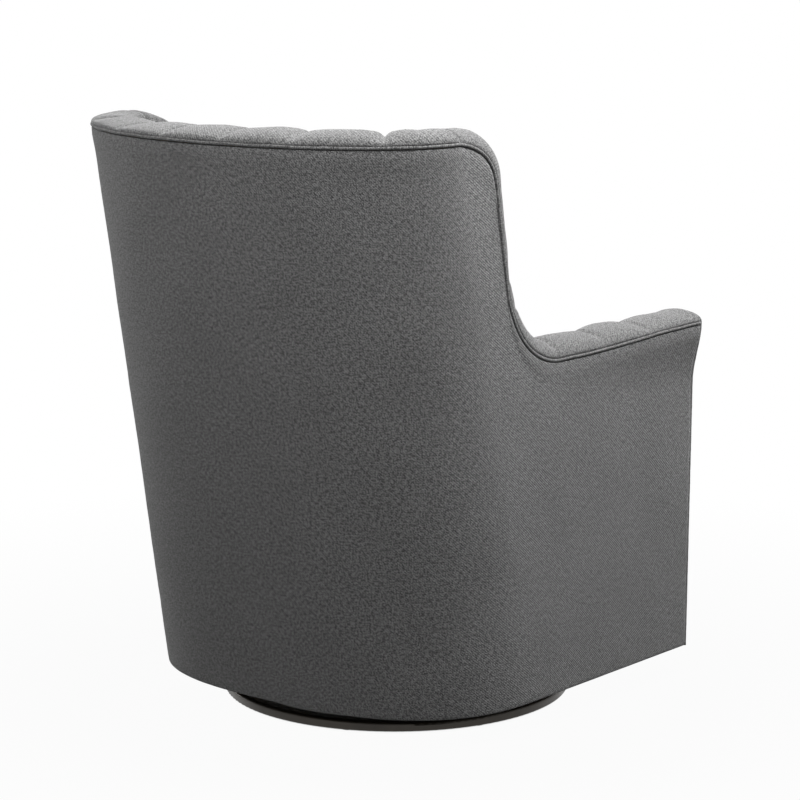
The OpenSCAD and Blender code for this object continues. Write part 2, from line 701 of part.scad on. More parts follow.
module hanger_leg(y) {
    translate([leg_x, y, 0]) rotate([0, 90, 0]) difference() {
        union() {
            translate([-lower_pivot_z, 0, 0]) cylinder(r = leg_half_w, h = rail_t);
            translate([-leg_top_z, -leg_half_w, 0])
                cube([leg_top_z - lower_pivot_z, 2 * leg_half_w, rail_t]);
        }
        translate([-lower_pivot_z, 0, -cut]) cylinder(r = pin_r, h = rail_t + 2 * cut);
    }
}
module hanger_legs() for (y = [-link_y, link_y]) hanger_leg(y);
module hanger_legs_left() steel() at_axis() hanger_legs();
module hanger_legs_right() steel() at_axis() mirror([1, 0, 0]) hanger_legs();
module lower_pivot_pins() {
    bright_steel() at_axis() both_sides() for (y = [-link_y, link_y])
        translate([0, y, lower_pivot_z]) rotate([0, 90, 0]) {
            translate([0, 0, bearing_x - head_t]) cylinder(r = head_r, h = head_t - run);
            translate([0, 0, bearing_x - head_t])
                cylinder(r = pin_r, h = leg_x + rail_t - bearing_x + head_t);
            translate([0, 0, bearing_x + bearing_w + run])
                cylinder(r = head_r, h = leg_x - bearing_x - bearing_w - run);
            translate([0, 0, leg_x + rail_t]) cylinder(r = head_r, h = 2 * head_t);
        }
}
module rail_braces() {
    half_w = leg_x + rail_t;
    steel() at_axis() for (y = [-brace_y, brace_y])
        translate([-half_w, y - rail_t / 2, bearer_z - rail_web_h])
            cube([2 * half_w, rail_t, brace_h]);
}

// Timber frame
rear_rail_y = seat_rear + back_pad_t + web_t + 2 * touch;
function post_y(z) = inside_rear(z) + back_pad_t + web_t + 2 * touch;
function frame_edge_z(y) = arm_z(y) + welt_seat - touch;
module mechanism_bearers() {
    timber() at_axis() both_sides() difference() {
        translate([bearer_x, -front_reach + board_t, bearer_z])
            cube([bearer_w, front_reach - board_t + rear_rail_y, bearer_h]);
        rail_screw_places() translate([0, 0, bearer_z - cut]) cylinder(r = screw_r, h = screw_l + cut);
    }
}
module seat_front_rail() {
    half_w = side_out_x - board_t;
    timber() at_axis() translate([-half_w, -front_reach, frame_foot_z])
        cube([2 * half_w, board_t, rail_top_z - frame_foot_z]);
}
// Half width of the outside outline at a place behind the knee
function outline_x(y, z) = let (
        square = mix(foot_square, top_square, rise(z)),
        depth = held((y - knee(z)) / (mix(foot_rear, top_rear, rise(z)) - knee(z)))
    ) mix(foot_half_w, top_half_w, rise(z)) * pow(1 - pow(depth, square), 1 / square);
module seat_rear_rail() {
    half_w = min(side_out_x - board_t, outline_x(rear_rail_y + board_t, bearer_z) - frame_inset);
    timber() at_axis() translate([-half_w, rear_rail_y, bearer_z])
        cube([2 * half_w, board_t, rail_top_z - bearer_z]);
}
module side_rails() {
    timber() at_axis() both_sides()
        translate([side_out_x - board_t, -front_reach, frame_foot_z])
            cube([board_t, front_reach + foot_knee, rail_top_z - frame_foot_z]);
}
// A board bent round the back between two insets from an outline
module round_board(low_z, height, outer, inner) {
    function whole(arc) = concat(arc, [for (p = dropped(turned(arc), 1)) [-p[0], p[1]]]);
    translate([0, 0, low_z]) linear_extrude(height)
        polygon(concat(whole(outer), turned(whole(inner))));
}
module rear_sill() {
    function arc(inset) = [for (i = [0:12]) plan(1 + i / 12, side_out_x + frame_inset - inset,
        foot_knee, foot_rear - inset, foot_square)];
    timber() at_axis() round_board(frame_foot_z, sill_h, arc(frame_inset), arc(frame_inset + board_t));
}
module back_top_rail() {
    low_z = back_welt_z - back_rail_h;
    top_z = back_welt_z + welt_seat - touch;
    function flat(p) = [p[0], p[1]];
    us = [for (i = [0:12]) mix(1 + rail_start_share, 2, i / 12)];
    outer = [for (u = us) flat(outside(1, u, low_z, frame_inset))];
    inner = [for (u = us) flat(inside(1, u, top_z, pad_depth(u) + rail_ease))];
    timber() at_axis() round_board(low_z, top_z - low_z, outer, inner);
}
module front_posts() {
    timber() at_axis() both_sides() translate([side_out_x - post_w, -front_reach, rail_top_z])
        cube([post_w, board_t, frame_edge_z(-front_reach + board_t) - rail_top_z]);
}
arm_rail_end = arm_back_y - post_w;
module arm_rails() {
    from_y = -front_reach + board_t;
    top = [for (i = [0:8]) let (y = mix(from_y, arm_rail_end, i / 8)) [y, frame_edge_z(y)]];
    under = [for (p = turned(top)) p - [0, arm_rail_h]];
    timber() at_axis() both_sides() translate([side_out_x - post_w, 0, 0])
        rotate([90, 0, 90]) linear_extrude(post_w) polygon(concat(top, under));
}
// Plywood side panel, whose front edge carries the roll of the neck, the wing and the crown
module side_panels() {
    function edge(stretch, t) = welt_yz(stretch, t) + (welt_seat - touch) * welt_normal(stretch, t);
    front = [for (stretch = [1:3]) for (i = [1:stretch_steps[stretch]])
        edge(stretch, i / stretch_steps[stretch])];
    head_y = knee(back_welt_z) - frame_inset;
    points = concat(
        [[arm_rail_end, rail_top_z], [arm_rail_end, frame_edge_z(arm_rail_end)],
            [arm_back_y, frame_edge_z(arm_back_y)]],
        [for (p = front) if (p[0] < head_y) p],
        [[head_y, back_welt_z - frame_inset], [knee(rail_top_z) - frame_inset, rail_top_z]]
    );
    timber() at_axis() both_sides() translate([side_out_x - panel_board_t, 0, 0])
        rotate([90, 0, 90]) linear_extrude(panel_board_t) polygon(points);
}
module back_posts() {
    head_z = back_welt_z - back_rail_h;
    front = [for (z = [rail_top_z, deck_z, head_z]) [post_y(z), z]];
    rear = [for (p = turned(front)) p + [board_t, 0]];
    timber() at_axis() both_sides() translate([back_post_x - back_post_w / 2, 0, 0])
        rotate([90, 0, 90]) linear_extrude(back_post_w) polygon(concat(front, rear));
}
module back_webbing() {
    lean = atan2(head_rear - seat_rear, back_welt_z - deck_z);
    width = 2 * back_post_x + back_post_w;
    black_cloth() at_axis() for (i = [0:web_count - 1]) {
        z = mix(deck_z, back_welt_z - back_rail_h, (i + 0.5) / web_count);
        translate([0, post_y(z), z]) rotate([-lean, 0, 0])
            translate([-width / 2, -web_t, -web_w / 2]) cube([width, web_t, web_w]);
    }
}

// Seat springs, deck and dust cover
spring_front_y = -front_reach + board_t / 2;
spring_rear_y = rear_rail_y + board_t / 2;
function spring_x(i) = (i - (spring_count - 1) / 2) * spring_pitch;
function spring_point(i, t) = [
    spring_x(i) + spring_amp * sin(360 * spring_waves * t)
        * smooth(12 * (min(t, 1 - t) - spring_straight_share)),
    mix(spring_front_y, spring_rear_y, t),
    mix(spring_end_z, spring_top_z, smooth(3 * min(t, 1 - t)))
];
module seat_springs() {
    steps = spring_waves * wave_steps;
    bright_steel() at_axis() for (i = [0:spring_count - 1])
        bead([for (k = [0:steps]) spring_point(i, k / steps)], [for (k = [0:steps]) [0, 0, 1]],
            wire_r, wire_sides);
}
module spring_clips() {
    steel() at_axis() for (i = [0:spring_count - 1]) for (y = [spring_front_y, spring_rear_y])
        translate([spring_x(i), y, rail_top_z]) difference() {
            translate([-clip_w / 2, -clip_l / 2, 0]) cube([clip_w, clip_l, clip_h]);
            translate([0, 0, clip_h / 2]) rotate([90, 0, 0])
                cylinder(r = wire_r + touch, h = clip_l + 2 * cut, center = true);
        }
}
module seat_deck() {
    half_w = side_out_x - post_w - touch;
    black_cloth() at_axis() translate([-half_w, -front_reach, deck_z - deck_h])
        cube([2 * half_w, front_reach + rear_rail_y - touch, deck_h]);
}
module dust_cover() {
    half_w = side_out_x - board_t - touch;
    from_y = -front_reach + board_t + touch;
    black_cloth() at_axis() difference() {
        translate([-half_w, from_y, bearer_z - dust_t - touch])
            cube([2 * half_w, rear_rail_y - from_y, dust_t]);
        both_sides() translate([leg_x - touch, -rail_half_l - touch, bearer_z - dust_t - touch - cut])
            cube([rail_t + rail_flange_w + 2 * touch, 2 * (rail_half_l + touch), dust_t + 2 * cut]);
    }
}

// Upholstery
module outside_cover() {
    function line(s, inset) = let (low = [s[1], shell_foot_z], top = edge_uz(s, -welt_seat))
        [for (k = [0:cover_steps]) let (p = mix(low, top, k / cover_steps))
            outside(s[0], p[0], p[1], inset)];
    grey_cloth() at_axis()
        sheet_solid([for (s = all_stations()) line(s, 0)], [for (s = all_stations()) line(s, cover_t)]);
}
module inside_back() {
    levels = back_levels(back_welt_z);
    grey_cloth() at_axis() sheet_solid([for (s = back_stations()) pad_skin(s, levels)],
        [for (s = back_stations()) pad_back(s, levels)]);
}
module inside_arm(stations) {
    function levels(s) = arm_levels(edge_uz(s, welt_seat)[1]);
    sheet_solid([for (s = stations) pad_skin(s, levels(s))],
        [for (s = stations) pad_back(s, levels(s))]);
}
module inside_arm_left() grey_cloth() at_axis() inside_arm(side_stations(1));
module inside_arm_right() grey_cloth() at_axis() inside_arm(turned(side_stations(-1)));

module button() {
    cylinder(r1 = button_r, r2 = button_r * 0.7, h = button_h);
}
module button_at(side, u, z, lift) {
    way = face_normal(side, u, z);
    translate(inside(side, u, z) + way * (lift - dimple))
        rotate([0, acos(way[2]), atan2(way[1], way[0])]) button();
}
module tuft_buttons() {
    grey_cloth() at_axis() {
        for (row = [0:back_rows - 1]) {
            shift = row % 2 == 0 ? 0.5 : 0;
            most = floor(back_quarters / 4 - shift);
            for (i = [-most - 2 * shift:most]) let (p = i + shift)
                button_at(p < 0 ? -1 : 1, p_to_u(abs(p)), back_row_z - row * back_row_pitch,
                    back_button_lift + (abs(p) > most ? corner_ease : 0)
                        - (row == back_rows - 1 ? foot_ease : 0));
        }
        for (side = [-1, 1]) for (row = [0, 1]) {
            z = arm_row_z - row * arm_row_pitch;
            for (i = [0:floor(arm_quarters / 4 - row / 2)]) {
                y = arm_back_y - tuft_pitch * (i + row / 2);
                if (arm_fade(y) > 0.9) button_at(side, side_u(y, z), z, arm_button_lift);
            }
        }
    }
}

// The wall's front end, as [x, z] points from the outer foot over the arm to the inner foot
function front_outline(inset) = let (
        top_z = arm_z(-front_reach) + welt_seat,
        outer = outside(1, 0, top_z, inset)[0],
        inner = inside(1, 0, top_z, inset)[0],
        levels = [shell_foot_z, top_z - flare_h, for (k = [3:-1:1]) top_z - flare_h * k / 4, top_z]
    ) concat(
        [for (z = levels) [outside(1, 0, z, inset)[0], z]],
        [for (k = [1:11]) let (a = 15 * k)
            [mix(outer, inner, (1 - cos(a)) / 2), top_z + (front_roll_h - inset) * sin(a)]],
        [for (z = turned(levels)) [inside(1, 0, z, inset)[0], z]]
    );
module arm_front() {
    translate([0, front_gap_y, 0]) rotate([90, 0, 0]) linear_extrude(panel_t)
        polygon(front_outline(panel_inset));
}
module arm_front_left() grey_cloth() at_axis() arm_front();
module arm_front_right() grey_cloth() at_axis() mirror([1, 0, 0]) arm_front();
module arm_front_welts() {
    points = [for (p = front_outline(welt_r)) [p[0], front_gap_y - welt_r, p[1]]];
    grey_piping() at_axis() both_sides()
        bead(points, [for (p = points) [0, 1, 0]], welt_r, welt_sides);
}
module front_rail_cover() {
    half_w = seat_half_w - touch;
    grey_cloth() at_axis() translate([-half_w, front_gap_y, 0]) rotate([90, 0, 90])
        linear_extrude(2 * half_w) {
            translate([-panel_t, shell_foot_z]) square([panel_t, deck_z - panel_t - shell_foot_z]);
            intersection() {
                translate([0, deck_z - panel_t]) circle(r = panel_t);
                translate([-panel_t, deck_z - panel_t]) square([panel_t, panel_t]);
            }
        }
}
module edge_welt() {
    stations = all_stations();
    points = [for (s = stations) outside(s[0], s[2], s[3], welt_inset)];
    across = [for (s = stations) unit(inside(s[0], s[2], s[3]) - outside(s[0], s[2], s[3]))];
    grey_piping() at_axis() bead(points, across, welt_r, welt_sides);
}

// Loose seat cushion, boxed and crowned, with its sides drawn in between the corners
cushion_half_w = seat_half_w - cushion_gap - panel_inset;
cushion_rear = seat_rear - cushion_gap - panel_inset;
cushion_half_l = (cushion_front - panel_inset + cushion_rear) / 2;
cushion_z = deck_z + touch;
cushion_square = 9;
cushion_turns = 40;
cushion_draw = 4;
cushion_bulge = 6;
zip_l = 240;
zip_draw_share = 0.6;
zip_w = 12;
zip_t = 1;
pull_w = 8;
pull_l = 26;
function corner_reach(a) = pow(pow(abs(cos(a)), cushion_square) + pow(abs(sin(a)), cushion_square),
    -1 / cushion_square);
function cushion_ring(share, out, z) = [for (i = [0:cushion_turns - 1]) let (
        a = 360 * i / cushion_turns,
        k = corner_reach(a),
        drawn = out - cushion_draw * (corner_reach(45) - k) / (corner_reach(45) - 1)
    ) [
        (cushion_half_w + drawn) * cos(a) * k * share,
        (cushion_half_l + drawn) * sin(a) * k * share + cushion_rear - cushion_half_l,
        z
    ]];
module seat_cushion() {
    seam_zs = [cushion_z + 2 * welt_r, cushion_z + cushion_t];
    crown_shares = [0.97, 0.9, 0.78, 0.6, 0.35, 0.04];
    grey_cloth() at_axis() tube_solid(concat(
        [for (share = [0.04, 0.5, 0.96]) cushion_ring(share, 0, cushion_z)],
        [for (k = [0:4]) cushion_ring(1, cushion_bulge * sin(180 * k / 4),
            mix(seam_zs[0], seam_zs[1], k / 4))],
        [for (share = crown_shares)
            cushion_ring(share, 0, seam_zs[1] + cushion_crown * (1 - pow(share, 4)))]
    ));
}
module cushion_welts() {
    grey_piping() at_axis() for (z = [cushion_z + 2 * welt_r, cushion_z + cushion_t]) {
        points = cushion_ring(1, welt_r + touch, z);
        bead(points, [for (p = points) [0, 0, 1]], welt_r, welt_sides, closed = true);
    }
}
module cushion_zip() {
    mid_z = cushion_z + welt_r + cushion_t / 2;
    rear_y = cushion_rear + cushion_bulge - cushion_draw * zip_draw_share + touch;
    black_cloth() at_axis() {
        translate([-zip_l / 2, rear_y, mid_z - zip_w / 2]) cube([zip_l, zip_t, zip_w]);
        translate([zip_l / 2 - pull_l, rear_y + zip_t, mid_z - pull_w / 2]) cube([pull_l, zip_t, pull_w]);
    }
}

floor_pads();
base_ring();
base_spider();
lower_race();
king_pin();
king_nut();
ball_cage();
race_balls();
upper_race();
pivot_bush();
stand_plate();
stand_side_left();
stand_side_right();
stand_bolts();
upper_pivot_pins();
glide_bumpers();
link_front_left();
link_front_right();
link_rear_left();
link_rear_right();
bearings_front_left();
bearings_front_right();
bearings_rear_left();
bearings_rear_right();
glide_rail_left();
glide_rail_right();
hanger_legs_left();
hanger_legs_right();
lower_pivot_pins();
rail_braces();
rail_screws();
mechanism_bearers();
seat_front_rail();
seat_rear_rail();
side_rails();
rear_sill();
front_posts();
arm_rails();
side_panels();
back_top_rail();
back_posts();
back_webbing();
seat_springs();
spring_clips();
seat_deck();
dust_cover();
outside_cover();
inside_back();
inside_arm_left();
inside_arm_right();
tuft_buttons();
arm_front_left();
arm_front_right();
front_rail_cover();
edge_welt();
arm_front_welts();
seat_cushion();
cushion_welts();
cushion_zip();
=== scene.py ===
"""Looks of the swivel glider armchair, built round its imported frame.

Every length is in metres. The walls, pads and welts are drawn about the swivel axis, as the chair
is built, and are then moved by AXIS_Y into the row frame.
"""

import json
import math

import bmesh
import bpy
import numpy as np
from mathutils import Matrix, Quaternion, Vector
from mathutils.bvhtree import BVHTree


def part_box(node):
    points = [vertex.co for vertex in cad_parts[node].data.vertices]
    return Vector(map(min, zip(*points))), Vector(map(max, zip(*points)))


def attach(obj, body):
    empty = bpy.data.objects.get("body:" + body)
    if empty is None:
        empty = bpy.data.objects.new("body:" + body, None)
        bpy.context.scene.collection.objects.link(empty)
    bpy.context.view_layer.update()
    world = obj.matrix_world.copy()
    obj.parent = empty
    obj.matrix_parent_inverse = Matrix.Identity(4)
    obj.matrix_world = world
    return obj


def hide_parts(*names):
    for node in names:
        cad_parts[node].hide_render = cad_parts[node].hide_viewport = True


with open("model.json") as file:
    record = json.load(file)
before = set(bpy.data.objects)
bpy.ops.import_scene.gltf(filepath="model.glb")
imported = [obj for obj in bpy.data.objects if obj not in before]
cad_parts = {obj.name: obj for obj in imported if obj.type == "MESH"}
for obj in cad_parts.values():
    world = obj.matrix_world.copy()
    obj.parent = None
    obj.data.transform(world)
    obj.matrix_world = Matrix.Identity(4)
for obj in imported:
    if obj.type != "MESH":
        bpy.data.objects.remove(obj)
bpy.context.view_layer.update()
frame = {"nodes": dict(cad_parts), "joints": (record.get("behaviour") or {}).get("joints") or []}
nodes = frame["nodes"]
AXIS_Y = next(j for j in frame["joints"] if j["name"] == "swivel")["pos_m"][1]
MM = 0.001

# Shell outline
SHELL_FOOT_Z = 47 * MM
FOOT_HALF_W, TOP_HALF_W = 345 * MM, 356 * MM
FRONT_REACH = 352 * MM
FOOT_REAR, TOP_REAR = 335 * MM, 489 * MM
FOOT_KNEE, TOP_KNEE = 62 * MM, 282 * MM
FOOT_SQUARE, TOP_SQUARE, INNER_SQUARE = 2.65, 2.0, 2.6
COVER_T = 3 * MM

# Arms, wings and the welt line. A pinch has its height above the floor, depth and half width.
ARM_WELT_Z, ARM_RISE, ARM_RISE_SHARE = 593 * MM, 12 * MM, 0.95
ARM_FLARE, FLARE_H, FLARE_END_SHARE = 15 * MM, 100 * MM, 0.7
ARM_BACK_Y = 30 * MM
BACK_WELT_Z = 953 * MM
ROLL_H, ARM_ROLL_H, ARM_ROLL_DROP = 20 * MM, 30 * MM, 15 * MM
ROLL_EDGE, ROLL_TUCK, PLEAT_DEPTH = 3 * MM, 0.6 * MM, 6.8 * MM
ROLL_STEPS = 22
LEFT_SINK, RIGHT_SWELL, FRONT_SINK = 9 * MM, 9 * MM, 4 * MM
SINK_FROM, SINK_SPAN = 160 * MM, 420 * MM
UNEVEN_FROM_Z, UNEVEN_SPAN, UNEVEN_AHEAD = 868 * MM, 40 * MM, 50 * MM
WING_PINCHES = [(748 * MM, 12 * MM, 26 * MM), (812 * MM, 4 * MM, 30 * MM)]
WING_PINCHES += [(684 * MM, 6 * MM, 7 * MM), (734 * MM, 6 * MM, 7 * MM)]
FOOT_U_SHARES = [0, 0.68, 0.90, 0.96, 1]
INNER_FOOT_SHARES = [0, 0, 0.45, 0.75, 1]
ARM_END = np.array([ARM_BACK_Y, ARM_WELT_Z])
WING_FOOT = ARM_END + np.array([127, 112]) * MM
WING_HEAD = np.array([WING_FOOT[0] + 33 * MM, BACK_WELT_Z - 73 * MM])
CROWN_END = np.array([TOP_KNEE, BACK_WELT_Z])
NECK_PULL = ARM_END + (WING_FOOT - ARM_END) * [0.72, 0.10]
CROWN_PULL = WING_HEAD + (CROWN_END - WING_HEAD) * [0.08, 0.84]
WELT_R, EDGE_WELT_R, WELT_SEAT, WELT_INSET = 3 * MM, 2.6 * MM, 3.5 * MM, 1.2 * MM
# The third of these is the radius of a near-black bead in the seam gap: painted shade for the
# shadow under the cord.
WELT_SINK, SEAM_GAP, SEAM_SHADE_R, CORD_GATHER = 0.2 * MM, 1.5 * MM, 1.0 * MM, 0.035

# Inside faces and tufting. A fade is how fast the tufting grows away from its end, per pitch.
DECK_Z = 295 * MM
SEAT_HALF_W, HEAD_HALF_W = 262 * MM, 286 * MM
SEAT_REAR, HEAD_REAR = 165 * MM, 375 * MM
ARM_PAD_T, BACK_PAD_T = 26 * MM, 44 * MM
TUFT_PITCH, DIMPLE, CROWN = 120 * MM, 10 * MM, 6 * MM
BACK_ROW_PITCH, BACK_ROW_Z, BACK_ROWS, BACK_REACH_PITCHES = 75 * MM, 862 * MM, 6, 2.6
ARM_ROW_PITCH, ARM_ROW_Z, ARM_ROWS, ARM_BUTTONS = 65 * MM, 540 * MM, 2, 3
BACK_FADE, ARM_FRONT_FADE, ARM_REAR_FADE, PAD_TURN = 2.5, 1.2, 2, 2.5
FOLD_FROM_BUTTON, FOLD_W, FOLD_DEPTH, PLEAT_W = 17 * MM, 11 * MM, 0.5 * MM, 6 * MM
BUTTON_R, BUTTON_H, BUTTON_SEAT = 9 * MM, 5.5 * MM, 3.6 * MM
TOUCH = 0.3 * MM
NEAR = 0.01

# Unevenness of hand work, as depth and spacing
COVER_SWELL, COVER_RIPPLE = (0.55 * MM, 160 * MM), (0.10 * MM, 35 * MM)
SEAM_PUCKER, WELT_WANDER = (0.22 * MM, 16 * MM), (0.25 * MM, 50 * MM)
PAD_SWELL, PAD_RIPPLE = (0.9 * MM, 110 * MM), (0.25 * MM, 24 * MM)
PANEL_SWELL, PANEL_PUCKER = (0.5 * MM, 90 * MM), (0.25 * MM, 14 * MM)
RAIL_SWELL, DUST_SWELL = (0.5 * MM, 120 * MM), (0.25 * MM, 50 * MM)
WEBBING_BOW = (0.35 * MM, 60 * MM)

# Stations along the arm, neck, wing and crown, those round half the back, and rows down
COVER_STATIONS, COVER_ROWS = ((56, 26, 26, 18), 76), 76
WELT_STATIONS = ((110, 44, 44, 30), 150)
ARM_PAD_STATIONS, ARM_PAD_ROWS = (92, 34, 34, 22), 96
BACK_PAD_STATIONS, BACK_PAD_ROWS = 135, 128

# Arm fronts and front rail panel
FRONT_Y = -FRONT_REACH - TOUCH
PANEL_T, PANEL_INSET, PANEL_TAPER = 9 * MM, 6.3 * MM, 40 * MM

# Seat cushion
CUSHION_HALF_W, CUSHION_HALF_L = 246.7 * MM, 264.2 * MM
CUSHION_REAR = 149.7 * MM
CUSHION_Z, CUSHION_T, CUSHION_CROWN = DECK_Z + TOUCH, 112 * MM, 34 * MM
CUSHION_SQUARE, CUSHION_DRAW, CUSHION_BULGE = 9, 4 * MM, 6 * MM
START_BULGE, START_CROWN, FILLING_CELL = 3 * MM, 25 * MM, 6 * MM
SEAM_ZS = (CUSHION_Z + 2 * WELT_R, CUSHION_Z + CUSHION_T)
ZIP_L, ZIP_W, ZIP_UNDER, ZIP_OFF = 240 * MM, 24 * MM, 0.3 * MM, 0.9 * MM


# Plain numbers
def mix(a, b, t):
    return a + (b - a) * t


def smooth(t):
    t = np.clip(t, 0, 1)
    return t * t * (3 - 2 * t)


def bell(value, middle, width):
    return np.exp(-(((value - middle) / width) ** 2))


def quarter_round(t):
    """Height of a rounded edge, from 0 at the edge itself to 1."""
    return np.sqrt(1 - (1 - np.clip(t, 0, 1)) ** 2)


def bezier(a, b, c, t):
    return (1 - t) ** 2 * a + 2 * t * (1 - t) * b + t**2 * c


def unit(v):
    return v / np.maximum(np.linalg.norm(v, axis=-1, keepdims=True), 1e-12)


def points(x, y, z):
    return np.stack(np.broadcast_arrays(x, y, z), axis=-1).astype(float)


def ripples(places, size, seed, waves=14):
    """A smooth random relief, mostly from -1 to 1, with swells about size apart."""
    draw = np.random.default_rng(seed)
    total = np.zeros(places.shape[:-1])
    for _ in range(waves):
        way = unit(draw.normal(size=places.shape[-1]))
        wave = size * draw.uniform(0.7, 1.6)
        total += np.sin(places @ (way * 2 * math.pi / wave) + draw.uniform(0, 2 * math.pi))
    return total / math.sqrt(waves)


def uneven(places, swell, seed):
    depth, spacing = swell
    return depth * ripples(places, spacing, seed)


# Outside and inside faces of the wall. u is 0 at the front, 1 at the knee and 2 at the middle back.
def rise(z):
    return (z - SHELL_FOOT_Z) / (BACK_WELT_Z - SHELL_FOOT_Z)


def inside_rise(z):
    return np.maximum(0, (z - DECK_Z) / (BACK_WELT_Z - DECK_Z))


def knee(z):
    return mix(FOOT_KNEE, TOP_KNEE, rise(z))


def side_u(y, z):
    return (y + FRONT_REACH) / (knee(z) + FRONT_REACH)


def side_y(u, z):
    return mix(-FRONT_REACH, knee(z), u)


def plan(u, half_w, knee_y, rear_y, square):
    turn = np.maximum(u - 1, 0) * math.pi / 2
    across, back = np.cos(turn), np.sin(turn)
    reach = (np.abs(across) ** square + np.abs(back) ** square) ** (-1 / square)
    x = np.where(u <= 1, half_w, half_w * across * reach)
    y = np.where(u <= 1, mix(-FRONT_REACH, knee_y, u), knee_y + (rear_y - knee_y) * back * reach)
    return x, y


def front_share(y):
    return smooth((-y / FRONT_REACH - 1 + ARM_RISE_SHARE) / ARM_RISE_SHARE)


def arm_z(y):
    return ARM_WELT_Z + ARM_RISE * front_share(y)


def flare(u, z):
    lift = smooth((z - arm_z(-FRONT_REACH) + FLARE_H) / FLARE_H)
    return ARM_FLARE * np.clip(1 - u / FLARE_END_SHARE, 0, 1) * lift


def outside(side, u, z, inset=0.0):
    r = rise(z)
    x, y = plan(
        u,
        mix(FOOT_HALF_W, TOP_HALF_W, r) - inset,
        knee(z),
        mix(FOOT_REAR, TOP_REAR, r) - inset,
        mix(FOOT_SQUARE, TOP_SQUARE, r),
    )
    return points(side * (x + flare(u, z)), y, z)


def inside(side, u, z, out=0.0):
    r = inside_rise(z)
    x, y = plan(
        u,
        mix(SEAT_HALF_W, HEAD_HALF_W, r) + out,
        knee(z),
        mix(SEAT_REAR, HEAD_REAR, r) + out,
        INNER_SQUARE,
    )
    return points(side * (x + flare(u, z) / 2), y, z)


def facing(wall, side, u, z):
    """The way that a wall's face looks away from the timber, level or nearly so."""
    along = wall(side, u + NEAR, z) - wall(side, u - NEAR, z)
    up = wall(side, u, z + TOUCH) - wall(side, u, z - TOUCH)
    way = unit(np.cross(along, up)) * np.asarray(side)[..., None]
    return way if wall is outside else -way


# Stations of the wall, in columns: side, u at the foot, u and z at the welt, the way that the
# welt's edge looks as y and z, and y at the inner foot
def welt_yz(stretch, t):
    if stretch == 1:
        return bezier(ARM_END, NECK_PULL, WING_FOOT, t)
    if stretch == 2:
        return mix(WING_FOOT, WING_HEAD, t)
    return bezier(WING_HEAD, CROWN_PULL, CROWN_END, t)


def arm_station(side, y):
    foot = FOOT_U_SHARES[1] * (y + FRONT_REACH) / (ARM_BACK_Y + FRONT_REACH)
    return [side, foot, side_u(y, arm_z(y)), arm_z(y), 0, 1, y]


def side_station(side, stretch, t):
    y, z = welt_yz(stretch, t)
    way = unit(welt_yz(stretch, min(1, t + NEAR)) - welt_yz(stretch, max(0, t - NEAR)))
    foot = mix(FOOT_U_SHARES[stretch], FOOT_U_SHARES[stretch + 1], t)
    inner = mix(INNER_FOOT_SHARES[stretch], INNER_FOOT_SHARES[stretch + 1], t)
    return [side, foot, side_u(y, z), z, -way[1], way[0], mix(ARM_BACK_Y, knee(DECK_Z), inner)]


def side_stations(side, steps):
    arm, neck, wing, crown = steps
    rows = [arm_station(side, mix(-FRONT_REACH, ARM_BACK_Y, k / arm)) for k in range(arm + 1)]
    for stretch, count in ((1, neck), (2, wing), (3, crown)):
        rows += [side_station(side, stretch, k / count) for k in range(1, count + 1)]
    return eased(np.array(rows))


def eased(rows, passes=6):
    """Softens the small bends where one stretch of the welt line meets the next."""
    for _ in range(passes):
        rows[1:-1, 2:6] = (rows[:-2, 2:6] + 2 * rows[1:-1, 2:6] + rows[2:, 2:6]) / 4
    return rows


def back_stations(count):
    """From one crown to the other round the back, closer together towards the wings."""
    turn = np.linspace(-1, 1, 2 * count + 1)
    u = 2 - np.abs(turn)
    side = np.where(turn <= 0, 1.0, -1.0)
    one = np.ones_like(u)
    return np.stack([side, u, u, one * BACK_WELT_Z, 0 * u, one, 0 * u], axis=-1)


def all_stations(steps, back):
    left, right = side_stations(1, steps), side_stations(-1, steps)[::-1]
    return np.concatenate([left, back_stations(back)[1:-1], right])


def behind(s):
    """Which stations stand round the back, past the knee."""
    return s[:, 1] > 1


def edge_uz(s, away):
    """Where the wall's edge lies at a distance beyond the welt's centre line, for each station."""
    u, z, ny, nz = s[:, 2:6].T
    high = z + away * np.where(behind(s), 1, nz)
    at_side = np.clip(side_u(side_y(u, z) + away * ny, high), 0, 1)
    return np.where(behind(s), u, at_side), high


def edge_out(s):
    """The way from the welt to the roll's top, for each station."""
    return points(0, np.where(behind(s), 0, s[:, 4]), np.where(behind(s), 1, s[:, 5]))


# Tufting. p counts button spacings along the wall and q counts pairs of rows up it.
def puff(p, q):
    return np.sqrt(np.abs(np.cos(math.pi * (p + q)) * np.cos(math.pi * (p - q))))


def pulls(p, q, q_pitch):
    """Small folds that run out from each button, as a relief from -1 to 1."""
    a, b = p + q, p - q
    a0, b0 = np.floor(a) + 0.5, np.floor(b) + 0.5
    dp = (p - (a0 + b0) / 2) * TUFT_PITCH
    dq = (q - (a0 - b0) / 2) * q_pitch
    turn, reach = np.arctan2(dq, dp), np.hypot(dp, dq)
    folds = np.sin(9 * turn + 3 * a0 + 5 * b0) + 0.6 * np.sin(5 * turn + 2 * b0)
    return folds * bell(reach, FOLD_FROM_BUTTON, FOLD_W)


def tufts(p, q, q_pitch, fade):
    return fade * (puff(p, q) * (CROWN + DIMPLE) - DIMPLE + FOLD_DEPTH * pulls(p, q, q_pitch))


def back_p(side, u):
    return side * TOP_HALF_W / TUFT_PITCH * np.cos((u - 1) * math.pi / 2)


def back_fade(p):
    return smooth((TOP_HALF_W / TUFT_PITCH - np.abs(p)) * BACK_FADE)


def arm_p(y):
    return (y - ARM_BACK_Y) / TUFT_PITCH + 0.5


def arm_fade(y):
    front = smooth((y + FRONT_REACH) / TUFT_PITCH * ARM_FRONT_FADE)
    return front * smooth(1 - (y - ARM_BACK_Y) / TUFT_PITCH * ARM_REAR_FADE)


